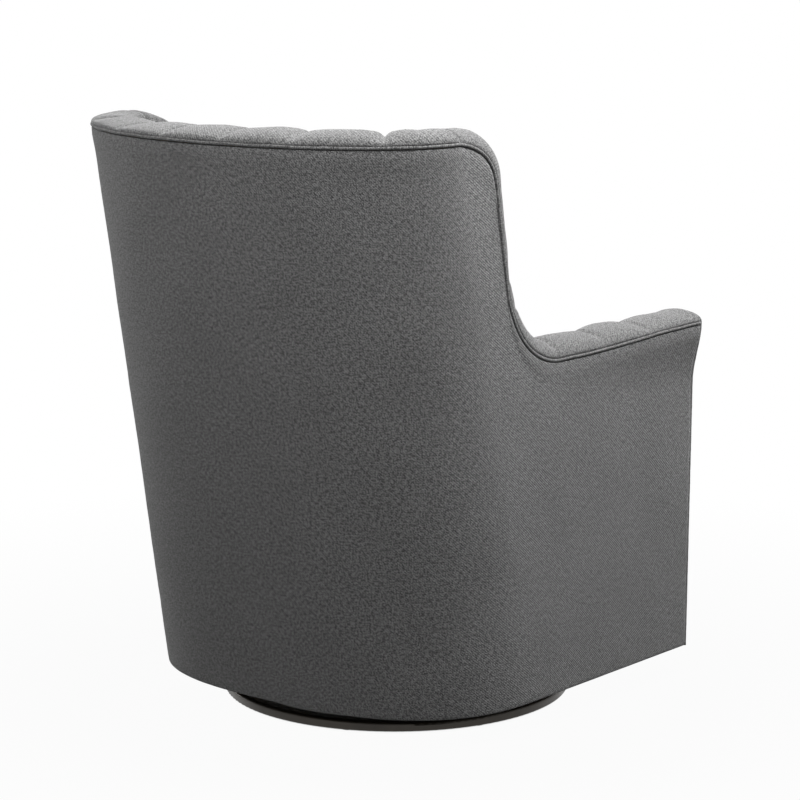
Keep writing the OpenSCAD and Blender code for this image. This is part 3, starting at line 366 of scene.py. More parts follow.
def relief(side, u, z):
    p = back_p(side, u)
    q = np.clip((z - BACK_ROW_Z) / (2 * BACK_ROW_PITCH), -(BACK_ROWS - 1) / 2, 0)
    back = tufts(p, q, 2 * BACK_ROW_PITCH, back_fade(p))
    y = side_y(u, z)
    low = np.clip((z - ARM_ROW_Z) / (2 * ARM_ROW_PITCH), -(ARM_ROWS - 1) / 2, 0)
    arm = tufts(arm_p(y), low, 2 * ARM_ROW_PITCH, arm_fade(y))
    return np.where(u > 1, back, arm)


def pleat(p):
    """Depth of the pleats that run over the roll from one row of buttons, from 0 to 1.4."""
    away = np.abs((p % 1) - 0.5) * TUFT_PITCH
    return 0.5 * (1 - np.abs(np.cos(math.pi * p))) + 0.9 * bell(away, 0, PLEAT_W)


def roll_height(s):
    """How far the padding rolls up beyond the welt, pleated and a little uneven by hand."""
    hand_share, hand_spacing, sides_apart = 0.05, 130 * MM, 400 * MM
    side, u, z = s[:, 0], s[:, 2], s[:, 3]
    y = side_y(u, z)
    up = np.clip((z - ARM_WELT_Z) / (BACK_WELT_Z - ARM_WELT_Z), 0, 1)
    arm = mix(ARM_ROLL_H, ROLL_H, up) - ARM_ROLL_DROP * front_share(y)
    hand_work = 1 + hand_share * ripples(points(side * sides_apart, y, z), hand_spacing, 17)
    p = back_p(1, u)
    folds = np.where(behind(s), back_fade(p) * pleat(p), arm_fade(y) * pleat(arm_p(y)))
    pinch = sum(depth * bell(z, pinch_z, width) for pinch_z, depth, width in WING_PINCHES)
    crown = smooth((z - UNEVEN_FROM_Z) / UNEVEN_SPAN)
    ahead = smooth((TOP_KNEE - y) / UNEVEN_AHEAD) * ~behind(s)
    to_left = smooth((back_p(side, u) * TUFT_PITCH + SINK_FROM) / SINK_SPAN)
    sink = LEFT_SINK * to_left + FRONT_SINK * ahead
    lopsided = crown * np.where((side > 0) | behind(s), -sink, RIGHT_SWELL * ahead)
    return np.where(behind(s), ROLL_H, arm) * hand_work - PLEAT_DEPTH * folds - pinch + lopsided


def pad_depth(u):
    return mix(ARM_PAD_T, BACK_PAD_T, smooth((u - 1) * PAD_TURN))


# Meshes
def grid_faces(rows, columns, start=0):
    at = start + np.arange(rows * columns).reshape(rows, columns)
    return np.stack([at[:-1, :-1], at[1:, :-1], at[1:, 1:], at[:-1, 1:]], axis=-1).reshape(-1, 4)


def ring_faces(rings, sides, start=0, closed=False):
    """Numbers of the points of stacked rings, and the faces from each ring to the next."""
    at = start + np.arange(rings * sides).reshape(rings, sides)
    after = np.roll(at, -1, axis=1)
    faces = np.stack([at, after, np.roll(after, -1, axis=0), np.roll(at, -1, axis=0)], axis=-1)
    return at, (faces if closed else faces[:-1]).reshape(-1, 4).tolist()


def capped_rings(grid):
    """Faces of stacked rings of points, with a flat one at each end."""
    at, faces = ring_faces(*grid.shape[:2])
    return faces + [at[0].tolist(), at[-1].tolist()]


def rim_loop(rows, columns):
    at = np.arange(rows * columns).reshape(rows, columns)
    return np.concatenate([at[0, :-1], at[:-1, -1], at[-1, :0:-1], at[:0:-1, 0]])


def lengths_along(line):
    """Length from the first point of a line, or row of a grid, to each of the others."""
    steps = np.linalg.norm(np.diff(line, axis=0), axis=-1)
    return np.concatenate([np.zeros_like(steps[:1]), np.cumsum(steps, axis=0)])


def grid_uv(grid, middle=0):
    """Lengths along and down a grid of points, so that a weave keeps its size on it."""
    u, v = lengths_along(grid), lengths_along(grid.swapaxes(0, 1)).T
    return np.stack([u - u[middle], v], axis=-1)


def read_out(items, label, size=1, kind=float):
    """One property of all of a mesh's points, corners or faces."""
    values = np.zeros(len(items) * size, kind)
    items.foreach_get(label, values)
    return values.reshape(-1, size) if size > 1 else values


def turn_outwards(mesh):
    shape = bmesh.new()
    shape.from_mesh(mesh)
    bmesh.ops.remove_doubles(shape, verts=shape.verts, dist=0.01 * MM)
    bmesh.ops.recalc_face_normals(shape, faces=shape.faces)
    shape.to_mesh(mesh)
    shape.free()


def shade_round(mesh):
    mesh.polygons.foreach_set("use_smooth", [True] * len(mesh.polygons))


def placed(name, data):
    """A new object in the scene."""
    made = bpy.data.objects.new(name, data)
    bpy.context.scene.collection.objects.link(made)
    return made


def piece(name, verts, faces, uv=None, move_to_row=True):
    """A mesh object from points and faces, with its weave laid by uv or as each face looks."""
    verts = np.asarray(verts, float).reshape(-1, 3)
    if move_to_row:
        verts = verts + [0, AXIS_Y, 0]
    mesh = bpy.data.meshes.new(name)
    mesh.from_pydata(verts.tolist(), [], [list(f) for f in faces])
    layer = mesh.uv_layers.new(name="cloth")
    if uv is not None:
        corners = read_out(mesh.loops, "vertex_index", kind=int)
        layer.data.foreach_set("uv", np.asarray(uv).reshape(-1, 2)[corners].ravel())
    turn_outwards(mesh)
    if uv is None:
        lay_by_facing(mesh)
    shade_round(mesh)
    return placed(name, mesh)


def lay_by_facing(mesh):
    """Lays the weave flat on each face from the side that the face looks to."""
    layer = mesh.uv_layers.get("cloth") or mesh.uv_layers.new(name="cloth")
    facing_axis = np.abs(read_out(mesh.polygons, "normal", 3)).argmax(axis=1)
    axis = np.repeat(facing_axis, read_out(mesh.polygons, "loop_total", kind=int))
    at = read_out(mesh.vertices, "co", 3)[read_out(mesh.loops, "vertex_index", kind=int)]
    u = np.where(axis == 0, at[:, 1], at[:, 0])
    v = np.where(axis == 2, at[:, 1], at[:, 2])
    layer.data.foreach_set("uv", np.stack([u, v], axis=-1).ravel())


def dress(made, material):
    made.data.materials.clear()
    made.data.materials.append(material)


def finished(made, body, material, replaces=()):
    """Dresses a piece and sets it on its body, in place of the plain solids that it stands for."""
    dress(made, material)
    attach(made, body)
    if replaces:
        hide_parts(*replaces)


def stuffed(made, node, body="seat"):
    """Dresses a closed form in the chair's cloth, over wadding."""
    finished(made, body, cloth, [node])


def cloth_solid(name, skin, back, middle=0, uv=None):
    """A closed piece of cloth or padding from two like grids of points."""
    rows, columns = skin.shape[:2]
    under = rows * columns
    loop = rim_loop(rows, columns)
    after = np.roll(loop, -1)
    rim = np.stack([loop, after, after + under, loop + under], axis=-1)
    faces = np.concatenate([
        grid_faces(rows, columns), grid_faces(rows, columns, under)[:, ::-1], rim,
    ])
    uv = (grid_uv(skin, middle) if uv is None else uv).reshape(-1, 2)
    return piece(name, np.concatenate([skin.reshape(-1, 3), back.reshape(-1, 3)]), faces,
                 np.concatenate([uv, uv]))


def cord_piece(name, runs, radius, sides=12, closed=False):
    """Round cords. Each run is its points and one way across it at each point."""
    verts, faces, uv = [], [], []
    turn = np.linspace(0, 2 * math.pi, sides, endpoint=False)
    for line, across in runs:
        start = sum(len(v) for v in verts)
        if closed:
            along = unit(np.roll(line, -1, axis=0) - np.roll(line, 1, axis=0))
        else:
            along = unit(np.gradient(line, axis=0))
        across = unit(across - along * (across * along).sum(axis=-1, keepdims=True))
        up = np.cross(along, across)
        length = lengths_along(line)
        gather = 1 + CORD_GATHER * ripples(points(length[:, None], turn * radius, 0), 7 * MM, 5)
        ring = across[:, None] * np.cos(turn)[:, None] + up[:, None] * np.sin(turn)[:, None]
        verts.append((line[:, None] + ring * (radius * gather)[..., None]).reshape(-1, 3))
        along_and_round = np.broadcast_arrays(length[:, None], turn * radius)
        uv.append(np.stack(along_and_round, axis=-1).reshape(-1, 2))
        at, between = ring_faces(len(line), sides, start, closed)
        faces += between
        if not closed:
            faces += [at[0].tolist(), at[-1, ::-1].tolist()]
    return piece(name, np.concatenate(verts), faces, np.concatenate(uv))


# Shader nodes
def add_node(tree, kind, inputs=(), **settings):
    made = tree.nodes.new(kind)
    for key, value in settings.items():
        setattr(made, key, value)
    for socket, value in dict(inputs).items():
        if isinstance(value, bpy.types.NodeSocket):
            tree.links.new(value, made.inputs[socket])
        else:
            made.inputs[socket].default_value = value
    return made


def number(tree, operation, *values, clamp=False):
    made = add_node(tree, "ShaderNodeMath", dict(enumerate(values)), operation=operation)
    made.use_clamp = clamp
    return made.outputs[0]


def spread_value(tree, value, low, high, to_low=0.0, to_high=1.0):
    inputs = {
        "Value": value, "From Min": low, "From Max": high, "To Min": to_low, "To Max": to_high,
    }
    return add_node(tree, "ShaderNodeMapRange", inputs).outputs["Result"]


def weighed(tree, a, share_a, b, share_b):
    parts = [number(tree, "MULTIPLY", a, share_a), number(tree, "MULTIPLY", b, share_b)]
    return number(tree, "ADD", *parts)


def sine_wave(tree, value, pitch):
    return number(tree, "SINE", number(tree, "MULTIPLY", value, 2 * math.pi / pitch))


def vector_math(tree, operation, a, b, second=1):
    inputs = {0: a, second: b}
    return add_node(tree, "ShaderNodeVectorMath", inputs, operation=operation).outputs


def blend_colour(tree, share, a, b, way="MIX"):
    inputs = {0: share, 6: a, 7: b}
    return add_node(tree, "ShaderNodeMix", inputs, data_type="RGBA", blend_type=way).outputs[2]


def noise(tree, place, scale, detail=3.0, roughness=0.55):
    inputs = {"Vector": place, "Scale": scale, "Detail": detail, "Roughness": roughness}
    return add_node(tree, "ShaderNodeTexNoise", inputs).outputs["Fac"]


def stretched(tree, place, scale):
    return add_node(tree, "ShaderNodeMapping", {"Vector": place, "Scale": scale}).outputs[0]


def new_tree(name, kind, inputs, outputs):
    """A node group with its sockets, and those sockets as seen from inside."""
    tree = bpy.data.node_groups.new(name, kind)
    for in_out, sockets in (("INPUT", inputs), ("OUTPUT", outputs)):
        for label, socket in sockets.items():
            tree.interface.new_socket(label, in_out=in_out, socket_type=f"NodeSocket{socket}")
    return tree, tree.nodes.new("NodeGroupInput").outputs, tree.nodes.new("NodeGroupOutput").inputs


def twill_group():
    """Fine twill: slanting ribs of crossed yarns, whose fibres are dyed unevenly. Its tone also
    carries painted shade: ribs and yarn crowns lighter, the grooves between them darker.
    """
    group, given, out = new_tree(
        "twill", "ShaderNodeTree", {"Place": "Vector", "Yarn": "Float", "Bias": "Float"},
        {"Dye_and_shade": "Float", "Height": "Float", "Cloud": "Float"},
    )
    wander, wander_scale, rib_pitch, yarn_pitch = 2.2 * MM, 60.0, 4, 2
    fibre_length, fibre_width = 0.18, 0.55
    on_bias = {"Vector": given["Place"], "Angle": given["Bias"]}
    turned = add_node(group, "ShaderNodeVectorRotate", on_bias, rotation_type="Z_AXIS").outputs[0]
    straying = {"Vector": turned, "Scale": wander_scale, "Detail": 3.0}
    strays = add_node(group, "ShaderNodeTexNoise", straying)
    shift = vector_math(group, "MULTIPLY", strays.outputs["Color"], (wander, wander, 0.0))[0]
    moved = vector_math(group, "ADD", turned, shift)[0]
    per_yarn = number(group, "DIVIDE", 1.0, given["Yarn"])
    count = vector_math(group, "SCALE", moved, per_yarn, 3)[0]
    warp, weft = add_node(group, "ShaderNodeSeparateXYZ", {0: count}).outputs[:2]
    slant = sine_wave(group, number(group, "ADD", warp, weft), rib_pitch)
    over = spread_value(group, slant, -0.35, 0.35)
    under = number(group, "SUBTRACT", 1.0, over)
    warp_yarn = number(group, "ABSOLUTE", sine_wave(group, warp, yarn_pitch))
    weft_yarn = number(group, "ABSOLUTE", sine_wave(group, weft, yarn_pitch))
    crossed = weighed(group, warp_yarn, over, weft_yarn, under)
    height = weighed(group, crossed, 0.45, spread_value(group, slant, -1.0, 1.0), 0.55)
    warp_dye = noise(group, stretched(group, count, (fibre_width, fibre_length, 1)), 1.0, 2.0, 0.7)
    weft_dye = noise(group, stretched(group, count, (fibre_length, fibre_width, 1)), 1.0, 2.0, 0.7)
    dye = weighed(group, warp_dye, over, weft_dye, under)
    # The tone mixes uneven dye with the weave's relief as painted shade: raised ribs and yarn
    # crowns lighter, grooves darker.
    tone = weighed(group, spread_value(group, dye, 0.44, 0.56), 0.64, height, 0.36)
    group.links.new(tone, out["Dye_and_shade"])
    group.links.new(height, out["Height"])
    group.links.new(noise(group, given["Place"], 9.0, 4.0), out["Cloud"])
    return group


def scuff_group():
    """Soft blotches and fine specks, for metal, rubber and nylon."""
    group, given, out = new_tree(
        "scuffs", "ShaderNodeTree", {"Place": "Vector", "Coarse": "Float", "Fine": "Float"},
        {"Blotch": "Float", "Speck": "Float"},
    )
    blotch = noise(group, given["Place"], given["Coarse"], 5.0)
    group.links.new(spread_value(group, blotch, 0.35, 0.65), out["Blotch"])
    group.links.new(noise(group, given["Place"], given["Fine"], 2.0, 0.7), out["Speck"])
    return group


TWILL = twill_group()
SCUFFS = scuff_group()


def new_material(name, **constants):
    """A material with its shader's constant values, and that shader."""
    made = bpy.data.materials.new(name)
    made.use_nodes = True
    shader = made.node_tree.nodes["Principled BSDF"]
    for label, value in constants.items():
        shader.inputs[label.replace("_", " ")].default_value = value
    return made, made.node_tree, shader


def coat(tree, shader, colour, height, depth, strength=1.0, rough=None):
    """Joins a finish's colour, relief and roughness to its shader."""
    bumps = {"Height": height, "Distance": depth, "Strength": strength}
    normal = add_node(tree, "ShaderNodeBump", bumps).outputs[0]
    tree.links.new(colour, shader.inputs["Base Color"])
    tree.links.new(normal, shader.inputs["Normal"])
    if rough is not None:
        tree.links.new(rough, shader.inputs["Roughness"])


def object_place(tree):
    return add_node(tree, "ShaderNodeTexCoord").outputs["Object"]


def cloth_place(tree):
    return add_node(tree, "ShaderNodeUVMap", uv_map="cloth").outputs[0]


def twill_cloth(name, dark, light, yarn=1.25 * MM, bias=0.0):
    made, tree, shader = new_material(name, Roughness=0.9, Sheen_Weight=0.25, Sheen_Roughness=0.5)
    given = {"Place": cloth_place(tree), "Yarn": yarn, "Bias": bias}
    weave = add_node(tree, "ShaderNodeGroup", given, node_tree=TWILL).outputs
    # The weave's colour is its uneven dye together with painted shade from its relief.
    yarns = blend_colour(tree, weave["Dye_and_shade"], dark, light)
    cloud = spread_value(tree, weave["Cloud"], 0.3, 0.7, 0.93, 1.07)
    grey = add_node(tree, "ShaderNodeCombineColor", {0: cloud, 1: cloud, 2: cloud}).outputs[0]
    colour = blend_colour(tree, 1.0, yarns, grey, "MULTIPLY")
    rough = spread_value(tree, weave["Dye_and_shade"], 0, 1, 0.96, 0.82)
    coat(tree, shader, colour, weave["Height"], 0.6 * MM, rough=rough)
    return made


def fibre_cloth(name, dark, light, rib=0.0):
    """Non-woven cloth with pressed dots, or ribbed webbing where rib is its spacing. The fibres'
    uneven tone is darkened in the dots and rib hollows as painted shade.
    """
    made, tree, shader = new_material(name, Roughness=0.85, Sheen_Weight=0.1)
    place = cloth_place(tree)
    fibres = noise(tree, stretched(tree, place, (300, 900, 1)), 1.0, 3.0)
    if rib:
        down = add_node(tree, "ShaderNodeSeparateXYZ", {0: place}).outputs[1]
        height = sine_wave(tree, down, rib)
    else:
        dots = {"Vector": place, "Scale": 420.0, "Randomness": 0.15}
        height = add_node(tree, "ShaderNodeTexVoronoi", dots).outputs["Distance"]
    # Painted shade: the colour is darker where the dots and ribs sink.
    shade = spread_value(tree, height, 0, 0.5, 0.6, 1.0)
    tone = number(tree, "MULTIPLY", fibres, shade, clamp=True)
    coat(tree, shader, blend_colour(tree, tone, dark, light), height, 0.25 * MM, 0.6)
    return made


def scuffed(name, dark, light, metallic, rough, coarse=14.0, fine=900.0):
    """Metal, rubber or nylon with a blotchy tone and roughness and a fine grain."""
    made, tree, shader = new_material(name, Metallic=metallic)
    given = {"Place": object_place(tree), "Coarse": coarse, "Fine": fine}
    wear = add_node(tree, "ShaderNodeGroup", given, node_tree=SCUFFS).outputs
    tone = blend_colour(tree, wear["Blotch"], dark, light)
    worn = spread_value(tree, wear["Blotch"], 0, 1, rough[1], rough[0])
    coat(tree, shader, tone, wear["Speck"], 0.05 * MM, 0.5, worn)
    return made


def board_wood(name, dark, light, along):
    """Raw poplar, with its grain drawn out along one axis."""
    made, tree, shader = new_material(name, Roughness=0.7)
    across_grain, along_grain = 46.0, 3.2
    scale = [across_grain] * 3
    scale[along] = along_grain
    place = stretched(tree, object_place(tree), scale)
    grain = noise(tree, place, 1.0, 6.0, 0.6)
    waviness = {"Vector": place, "Scale": 0.35, "Distortion": 5.0, "Detail": 3.0}
    rings = add_node(tree, "ShaderNodeTexWave", waviness).outputs["Fac"]
    tone = spread_value(tree, weighed(tree, grain, 0.65, rings, 0.35), 0.3, 0.75)
    rough = spread_value(tree, grain, 0.3, 0.7, 0.62, 0.8)
    coat(tree, shader, blend_colour(tree, tone, dark, light), grain, 0.2 * MM, 0.4, rough)
    return made


cloth = twill_cloth("grey_twill", (0.008, 0.008, 0.0085, 1), (0.272, 0.271, 0.270, 1))
welt_cloth = twill_cloth("bias_twill", (0.012, 0.012, 0.0125, 1), (0.262, 0.261, 0.260, 1),
                         bias=math.radians(45))
platform_cloth = fibre_cloth("platform_cloth", (0.030, 0.030, 0.031, 1), (0.085, 0.085, 0.086, 1))
dust_cloth = fibre_cloth("dust_cloth", (0.012, 0.012, 0.012, 1), (0.040, 0.040, 0.041, 1))
# Near-black cloth for the bead in the welt's seam: painted shade for the shadow under the cord.
seam_shade_cloth = fibre_cloth("painted_seam_shade", (0.004, 0.004, 0.004, 1), (0.012, 0.012, 0.012, 1))
webbing_cloth = fibre_cloth("webbing", (0.020, 0.020, 0.021, 1), (0.075, 0.074, 0.072, 1),
                            rib=3 * MM)
bronze = scuffed("bronze_paint", (0.030, 0.026, 0.021, 1), (0.052, 0.044, 0.035, 1),
                 0.45, (0.30, 0.42))
zinc = scuffed("zinc_plate", (0.42, 0.43, 0.45, 1), (0.60, 0.61, 0.63, 1),
               1.0, (0.28, 0.45), coarse=40.0)
ground_steel = scuffed("ground_steel", (0.60, 0.61, 0.62, 1), (0.76, 0.77, 0.78, 1),
                       1.0, (0.16, 0.28))
spring_steel = scuffed("oiled_spring_steel", (0.16, 0.155, 0.15, 1), (0.3, 0.295, 0.29, 1),
                       1.0, (0.22, 0.4))
rubber = scuffed("black_rubber", (0.018, 0.018, 0.018, 1), (0.034, 0.034, 0.034, 1),
                 0.0, (0.72, 0.86))
nylon = scuffed("black_nylon", (0.020, 0.020, 0.021, 1), (0.034, 0.034, 0.035, 1),
                0.0, (0.42, 0.55))
wood_x, wood_y, wood_z = (
    board_wood(f"poplar_{axis}", (0.42, 0.29, 0.165, 1), (0.70, 0.55, 0.36, 1), along)
    for along, axis in enumerate("xyz")
)


def each_of(names, places):
    return [f"{name}_{place}" for name in names for place in places]


def dress_frame():
    """Gives the carried-over metal and timber pieces their finishes."""
    sides = ["left", "right"]
    corners = each_of(["front", "rear"], sides)
    finishes = {
        bronze: ["base_ring", "base_spider"],
        zinc: [
            "ball_cage", "stand_plate", "rail_braces", "spring_clips", *each_of(["link"], corners),
            *each_of(["stand_side", "glide_rail", "hanger_legs"], sides),
        ],
        ground_steel: [
            "lower_race", "upper_race", "king_pin", "king_nut", "race_balls", "stand_bolts",
            "upper_pivot_pins", "lower_pivot_pins", "rail_screws", *each_of(["bearings"], corners),
        ],
        rubber: ["floor_pads", "glide_bumpers"],
        nylon: ["pivot_bush"],
        wood_x: ["seat_front_rail", "seat_rear_rail", "rear_sill", "back_top_rail"],
        wood_y: ["mechanism_bearers", "side_rails", "arm_rails"],
        wood_z: ["front_posts", "side_panels", "back_posts"],
    }
    for finish, names in finishes.items():
        for name in names:
            dress(nodes[name], finish)


# Geometry trees for what repeats or follows a path
def geometry_tree(name, **inputs):
    sockets = {"Geometry": "Geometry", **inputs, "Finish": "Material"}
    return new_tree(name, "GeometryNodeTree", sockets, {"Geometry": "Geometry"})


def end_tree(tree, geometry, given, out):
    real = add_node(tree, "GeometryNodeRealizeInstances", {0: geometry})
    finish = {"Geometry": real.outputs[0], "Material": given["Finish"]}
    tree.links.new(add_node(tree, "GeometryNodeSetMaterial", finish).outputs[0], out["Geometry"])
    return tree


def copies_on(tree, given, places, way, axis):
    """A copy of the item on every place, with one of its axes along that place's way."""
    turn = add_node(tree, "FunctionNodeAlignRotationToVector", {"Vector": way}, axis=axis)
    item = add_node(tree, "GeometryNodeObjectInfo", {"Object": given["Item"]})
    inputs = {"Points": places, "Instance": item.outputs["Geometry"], "Rotation": turn.outputs[0]}
    return add_node(tree, "GeometryNodeInstanceOnPoints", inputs).outputs[0]


def studs_tree():
    """One copy of a small piece on every point, with its top along the point's own way."""
    tree, given, out = geometry_tree("studs", Item="Object")
    stored = add_node(tree, "GeometryNodeInputNamedAttribute", {"Name": "way"},
                      data_type="FLOAT_VECTOR")
    copies = copies_on(tree, given, given["Geometry"], stored.outputs[0], "Z")
    return end_tree(tree, copies, given, out)


def row_tree():
    """Copies of a small piece at an even spacing along every line."""
    tree, given, out = geometry_tree("row", Item="Object", Spacing="Float")
    line = add_node(tree, "GeometryNodeMeshToCurve", {"Mesh": given["Geometry"]})
    inputs = {"Curve": line.outputs[0], "Length": given["Spacing"]}
    even = add_node(tree, "GeometryNodeResampleCurve", inputs, mode="LENGTH")
    tangent = add_node(tree, "GeometryNodeInputTangent").outputs[0]
    return end_tree(tree, copies_on(tree, given, even.outputs[0], tangent, "X"), given, out)


def wires_tree():
    """A round wire along every line."""
    tree, given, out = geometry_tree("wires", Radius="Float", Sides="Int")
    line = add_node(tree, "GeometryNodeMeshToCurve", {"Mesh": given["Geometry"]})
    ring = add_node(tree, "GeometryNodeCurvePrimitiveCircle",
                    {"Resolution": given["Sides"], "Radius": given["Radius"]})
    inputs = {"Curve": line.outputs[0], "Profile Curve": ring.outputs[0], "Fill Caps": True}
    wire = add_node(tree, "GeometryNodeCurveToMesh", inputs)
    rounded = add_node(tree, "GeometryNodeSetShadeSmooth", {"Geometry": wire.outputs[0]})
    return end_tree(tree, rounded.outputs[0], given, out)


def evaluated(made):
    """An object as its modifiers leave it."""
    return made.evaluated_get(bpy.context.evaluated_depsgraph_get())


def grown(name, tree, verts, edges=(), ways=None, **values):
    """Runs a geometry tree on points and lines, and keeps the plain mesh that comes out."""
    mesh = bpy.data.meshes.new(name)
    in_row = np.asarray(verts, float) + [0, AXIS_Y, 0]
    mesh.from_pydata(in_row.tolist(), [list(e) for e in edges], [])
    if ways is not None:
        attribute = mesh.attributes.new("way", "FLOAT_VECTOR", "POINT")
        attribute.data.foreach_set("vector", np.asarray(ways, float).ravel())
    seed = placed(f"{name}_seed", mesh)
    modifier = seed.modifiers.new("tree", "NODES")
    modifier.node_group = tree
    sockets = {s.name: s.identifier for s in tree.interface.items_tree if s.in_out == "INPUT"}
    for label, value in values.items():
        modifier[sockets[label]] = value
    made = placed(name, bpy.data.meshes.new_from_object(evaluated(seed)))
    made.data.name = name
    seed.modifiers.remove(modifier)
    bpy.data.objects.remove(seed)
    return made


def lathe(name, profile, turns=24):
    """A small round part from (radius, height) points, from the middle of its foot to its tip."""
    angle = np.linspace(0, 2 * math.pi, turns, endpoint=False)
    radius, high = np.array(profile).T
    verts = points(radius[:, None] * np.cos(angle), radius[:, None] * np.sin(angle), high[:, None])
    return piece(name, verts, capped_rings(verts), move_to_row=False)


# Upholstery
def cover_rows():
    """Rows of the outside cover: share of the way up, then its rise and inset in millimetres."""
    hem = [(0, 0, 2.8), (0, 0.3, 1.3), (0, 1.2, 0.4), (0, 2.8, 0.0)]
    body = [(k / COVER_ROWS, 0, 0.0) for k in range(1, COVER_ROWS + 1)]
    seam = [(1, 0.25, 0.15), (1, 0.5, 0.6), (1, 0.6, 1.5), (1, 0.6, 2.7)]
    return hem + body + seam


def wall_length(side, u):
    """Length round the wall, halfway up the arm, from the middle of the back."""
    turn = np.linspace(0, 2, 400)
    length = lengths_along(outside(1.0, turn, (SHELL_FOOT_Z + ARM_WELT_Z) / 2))
    return side * (np.interp(u, turn, length) - length[-1])


def outside_cover():
    """The sheet from the hem to the welt, with slack cloth, and a ridge and puckers at the seam."""
    edge_hold, foot_hold, pucker_reach = 40 * MM, 60 * MM, 14 * MM
    ridge, ridge_down, ridge_w = 1.1 * MM, 16 * MM, 12 * MM
    s = all_stations(*COVER_STATIONS)
    top_u, top_z = edge_uz(s, -WELT_SEAT - SEAM_GAP)
    skin, back, uv = [], [], []
    way_out = edge_out(s)
    for share, beyond, inset in cover_rows():
        u, z = mix(s[:, 1], top_u, share), mix(SHELL_FOOT_Z, top_z, share)
        row = outside(s[:, 0], u, z, inset * MM)
        lift = way_out if share == 1 else points(0, 0, np.ones(len(s)))
        row = row + lift * beyond * MM
        to_edge = (1 - share) * (top_z - SHELL_FOOT_Z)
        out = facing(outside, s[:, 0], u, z)
        slack = smooth(to_edge / edge_hold) * smooth((z - SHELL_FOOT_Z) / foot_hold)
        swell = uneven(row, COVER_SWELL, 11) * slack + uneven(row, COVER_RIPPLE, 12)
        gather = uneven(row, SEAM_PUCKER, 13) * np.exp(-to_edge / pucker_reach)
        gather += ridge * bell(to_edge, ridge_down, ridge_w)
        skin.append(row + out * (swell + gather)[:, None])
        back.append(outside(s[:, 0], u, z, COVER_T) + lift * beyond * MM)
        uv.append(np.stack([wall_length(s[:, 0], u), z + (beyond - inset) * MM], axis=-1))
    skin, back, uv = (np.stack(rows, 1) for rows in (skin, back, uv))
    made = cloth_solid("outside_cover_cloth", skin, back, uv=uv)
    finished(made, "seat", cloth, ["outside_cover"])


def pad_grids(s, down_steps):
    """Skin and back of a pad, from the welt over the roll and down the inside face."""
    side = s[:, 0]
    top_u, top_z = edge_uz(s, EDGE_WELT_R - ROLL_TUCK)
    outer, inner = outside(side, top_u, top_z), inside(side, top_u, top_z)
    deep = inside(side, top_u, top_z, pad_depth(top_u))
    height = roll_height(s) + WELT_SEAT - EDGE_WELT_R - ROLL_EDGE
    in_way = unit(facing(inside, side, top_u, top_z) * [1, 1, 0])
    dip = relief(side, top_u, top_z)
    skin, back = [], []
    for k in range(ROLL_STEPS + 1):
        a = math.pi * k / ROLL_STEPS
        lift = ROLL_EDGE * min(1, k / 2) + height * math.sin(a)
        fold = dip * smooth(2 * k / ROLL_STEPS - 1)
        row = mix(outer, inner, (1 - math.cos(a)) / 2) + edge_out(s) * lift[:, None]
        skin.append(row + in_way * fold[:, None])
        back.append(mix(outer, deep, (1 - math.cos(a)) / 2))
    foot_z = DECK_Z + TOUCH
    arm_foot_u = side_u(s[:, 6], foot_z)
    for k in range(1, down_steps + 1):
        t = k / down_steps
        z = mix(top_z, foot_z, t)
        at_side = np.clip(side_u(mix(side_y(top_u, top_z), s[:, 6], t), z), 0, 1)
        u = np.where(behind(s), top_u, at_side)
        u = np.where(~behind(s) & (t == 1), np.clip(arm_foot_u, 0, 1), u)
        way = unit(facing(inside, side, u, z) * [1, 1, 0])
        skin.append(inside(side, u, z) + way * relief(side, u, z)[:, None])
        back.append(inside(side, u, z, pad_depth(u)))
    return np.stack(skin, 1), np.stack(back, 1)


def sewn_edges(skin, back, ends, depth=3.5 * MM, reach=7 * MM):
    """Rounds a pad down towards its own back where it is sewn to its neighbour."""
    for end in ends:
        rows = skin if end == 0 else skin[::-1]
        under = back if end == 0 else back[::-1]
        away = np.linalg.norm(rows - rows[:1], axis=-1)
        pull = depth * np.clip(1 - away / reach, 0, 1) ** 2
        rows += unit(under - rows) * pull[..., None]
    return skin


def lived_in(skin, seed, loosening=12):
    """Slight unevenness of the wadding under the cloth, which the welt's seam holds flat."""
    loose = smooth(np.linspace(0, 1, skin.shape[1]) * loosening)
    swell = uneven(skin, PAD_SWELL, seed) + uneven(skin, PAD_RIPPLE, seed + 1)
    way = unit(np.cross(np.gradient(skin, axis=0), np.gradient(skin, axis=1)))
    return skin + way * (swell * loose)[..., None]


def inside_pads():
    back_s = back_stations(BACK_PAD_STATIONS)
    skin, under = pad_grids(back_s, BACK_PAD_ROWS)
    skin = lived_in(sewn_edges(skin, under, (0, -1)), 21)
    stuffed(cloth_solid("inside_back_pad", skin, under, len(back_s) // 2), "inside_back")
    for side, name in ((1, "left"), (-1, "right")):
        s = side_stations(side, ARM_PAD_STATIONS)
        skin, under = pad_grids(s, ARM_PAD_ROWS)
        skin = lived_in(sewn_edges(skin, under, (-1,)), 31 + side)
        stuffed(cloth_solid(f"inside_arm_pad_{name}", skin, under), f"inside_arm_{name}")


def button_places():
    """Foot of each button and the way that it faces."""
    feet = []
    reach = TOP_HALF_W / TUFT_PITCH
    for row in range(BACK_ROWS):
        shift = 0.5 if row % 2 == 0 else 0.0
        for p in np.arange(-3, 4) + shift:
            if abs(p) < BACK_REACH_PITCHES:
                u = 1 + math.acos(abs(p) / reach) * 2 / math.pi
                feet.append((-1.0 if p < 0 else 1.0, u, BACK_ROW_Z - row * BACK_ROW_PITCH))
    for side in (-1.0, 1.0):
        for row in range(ARM_ROWS):
            z = ARM_ROW_Z - row * ARM_ROW_PITCH
            for i in range(ARM_BUTTONS):
                feet.append((side, side_u(ARM_BACK_Y - TUFT_PITCH * (i + row / 2), z), z))
    side, u, z = np.array(feet).T
    way = facing(inside, side, u, z)
    return inside(side, u, z) + way * (BUTTON_SEAT - DIMPLE), way


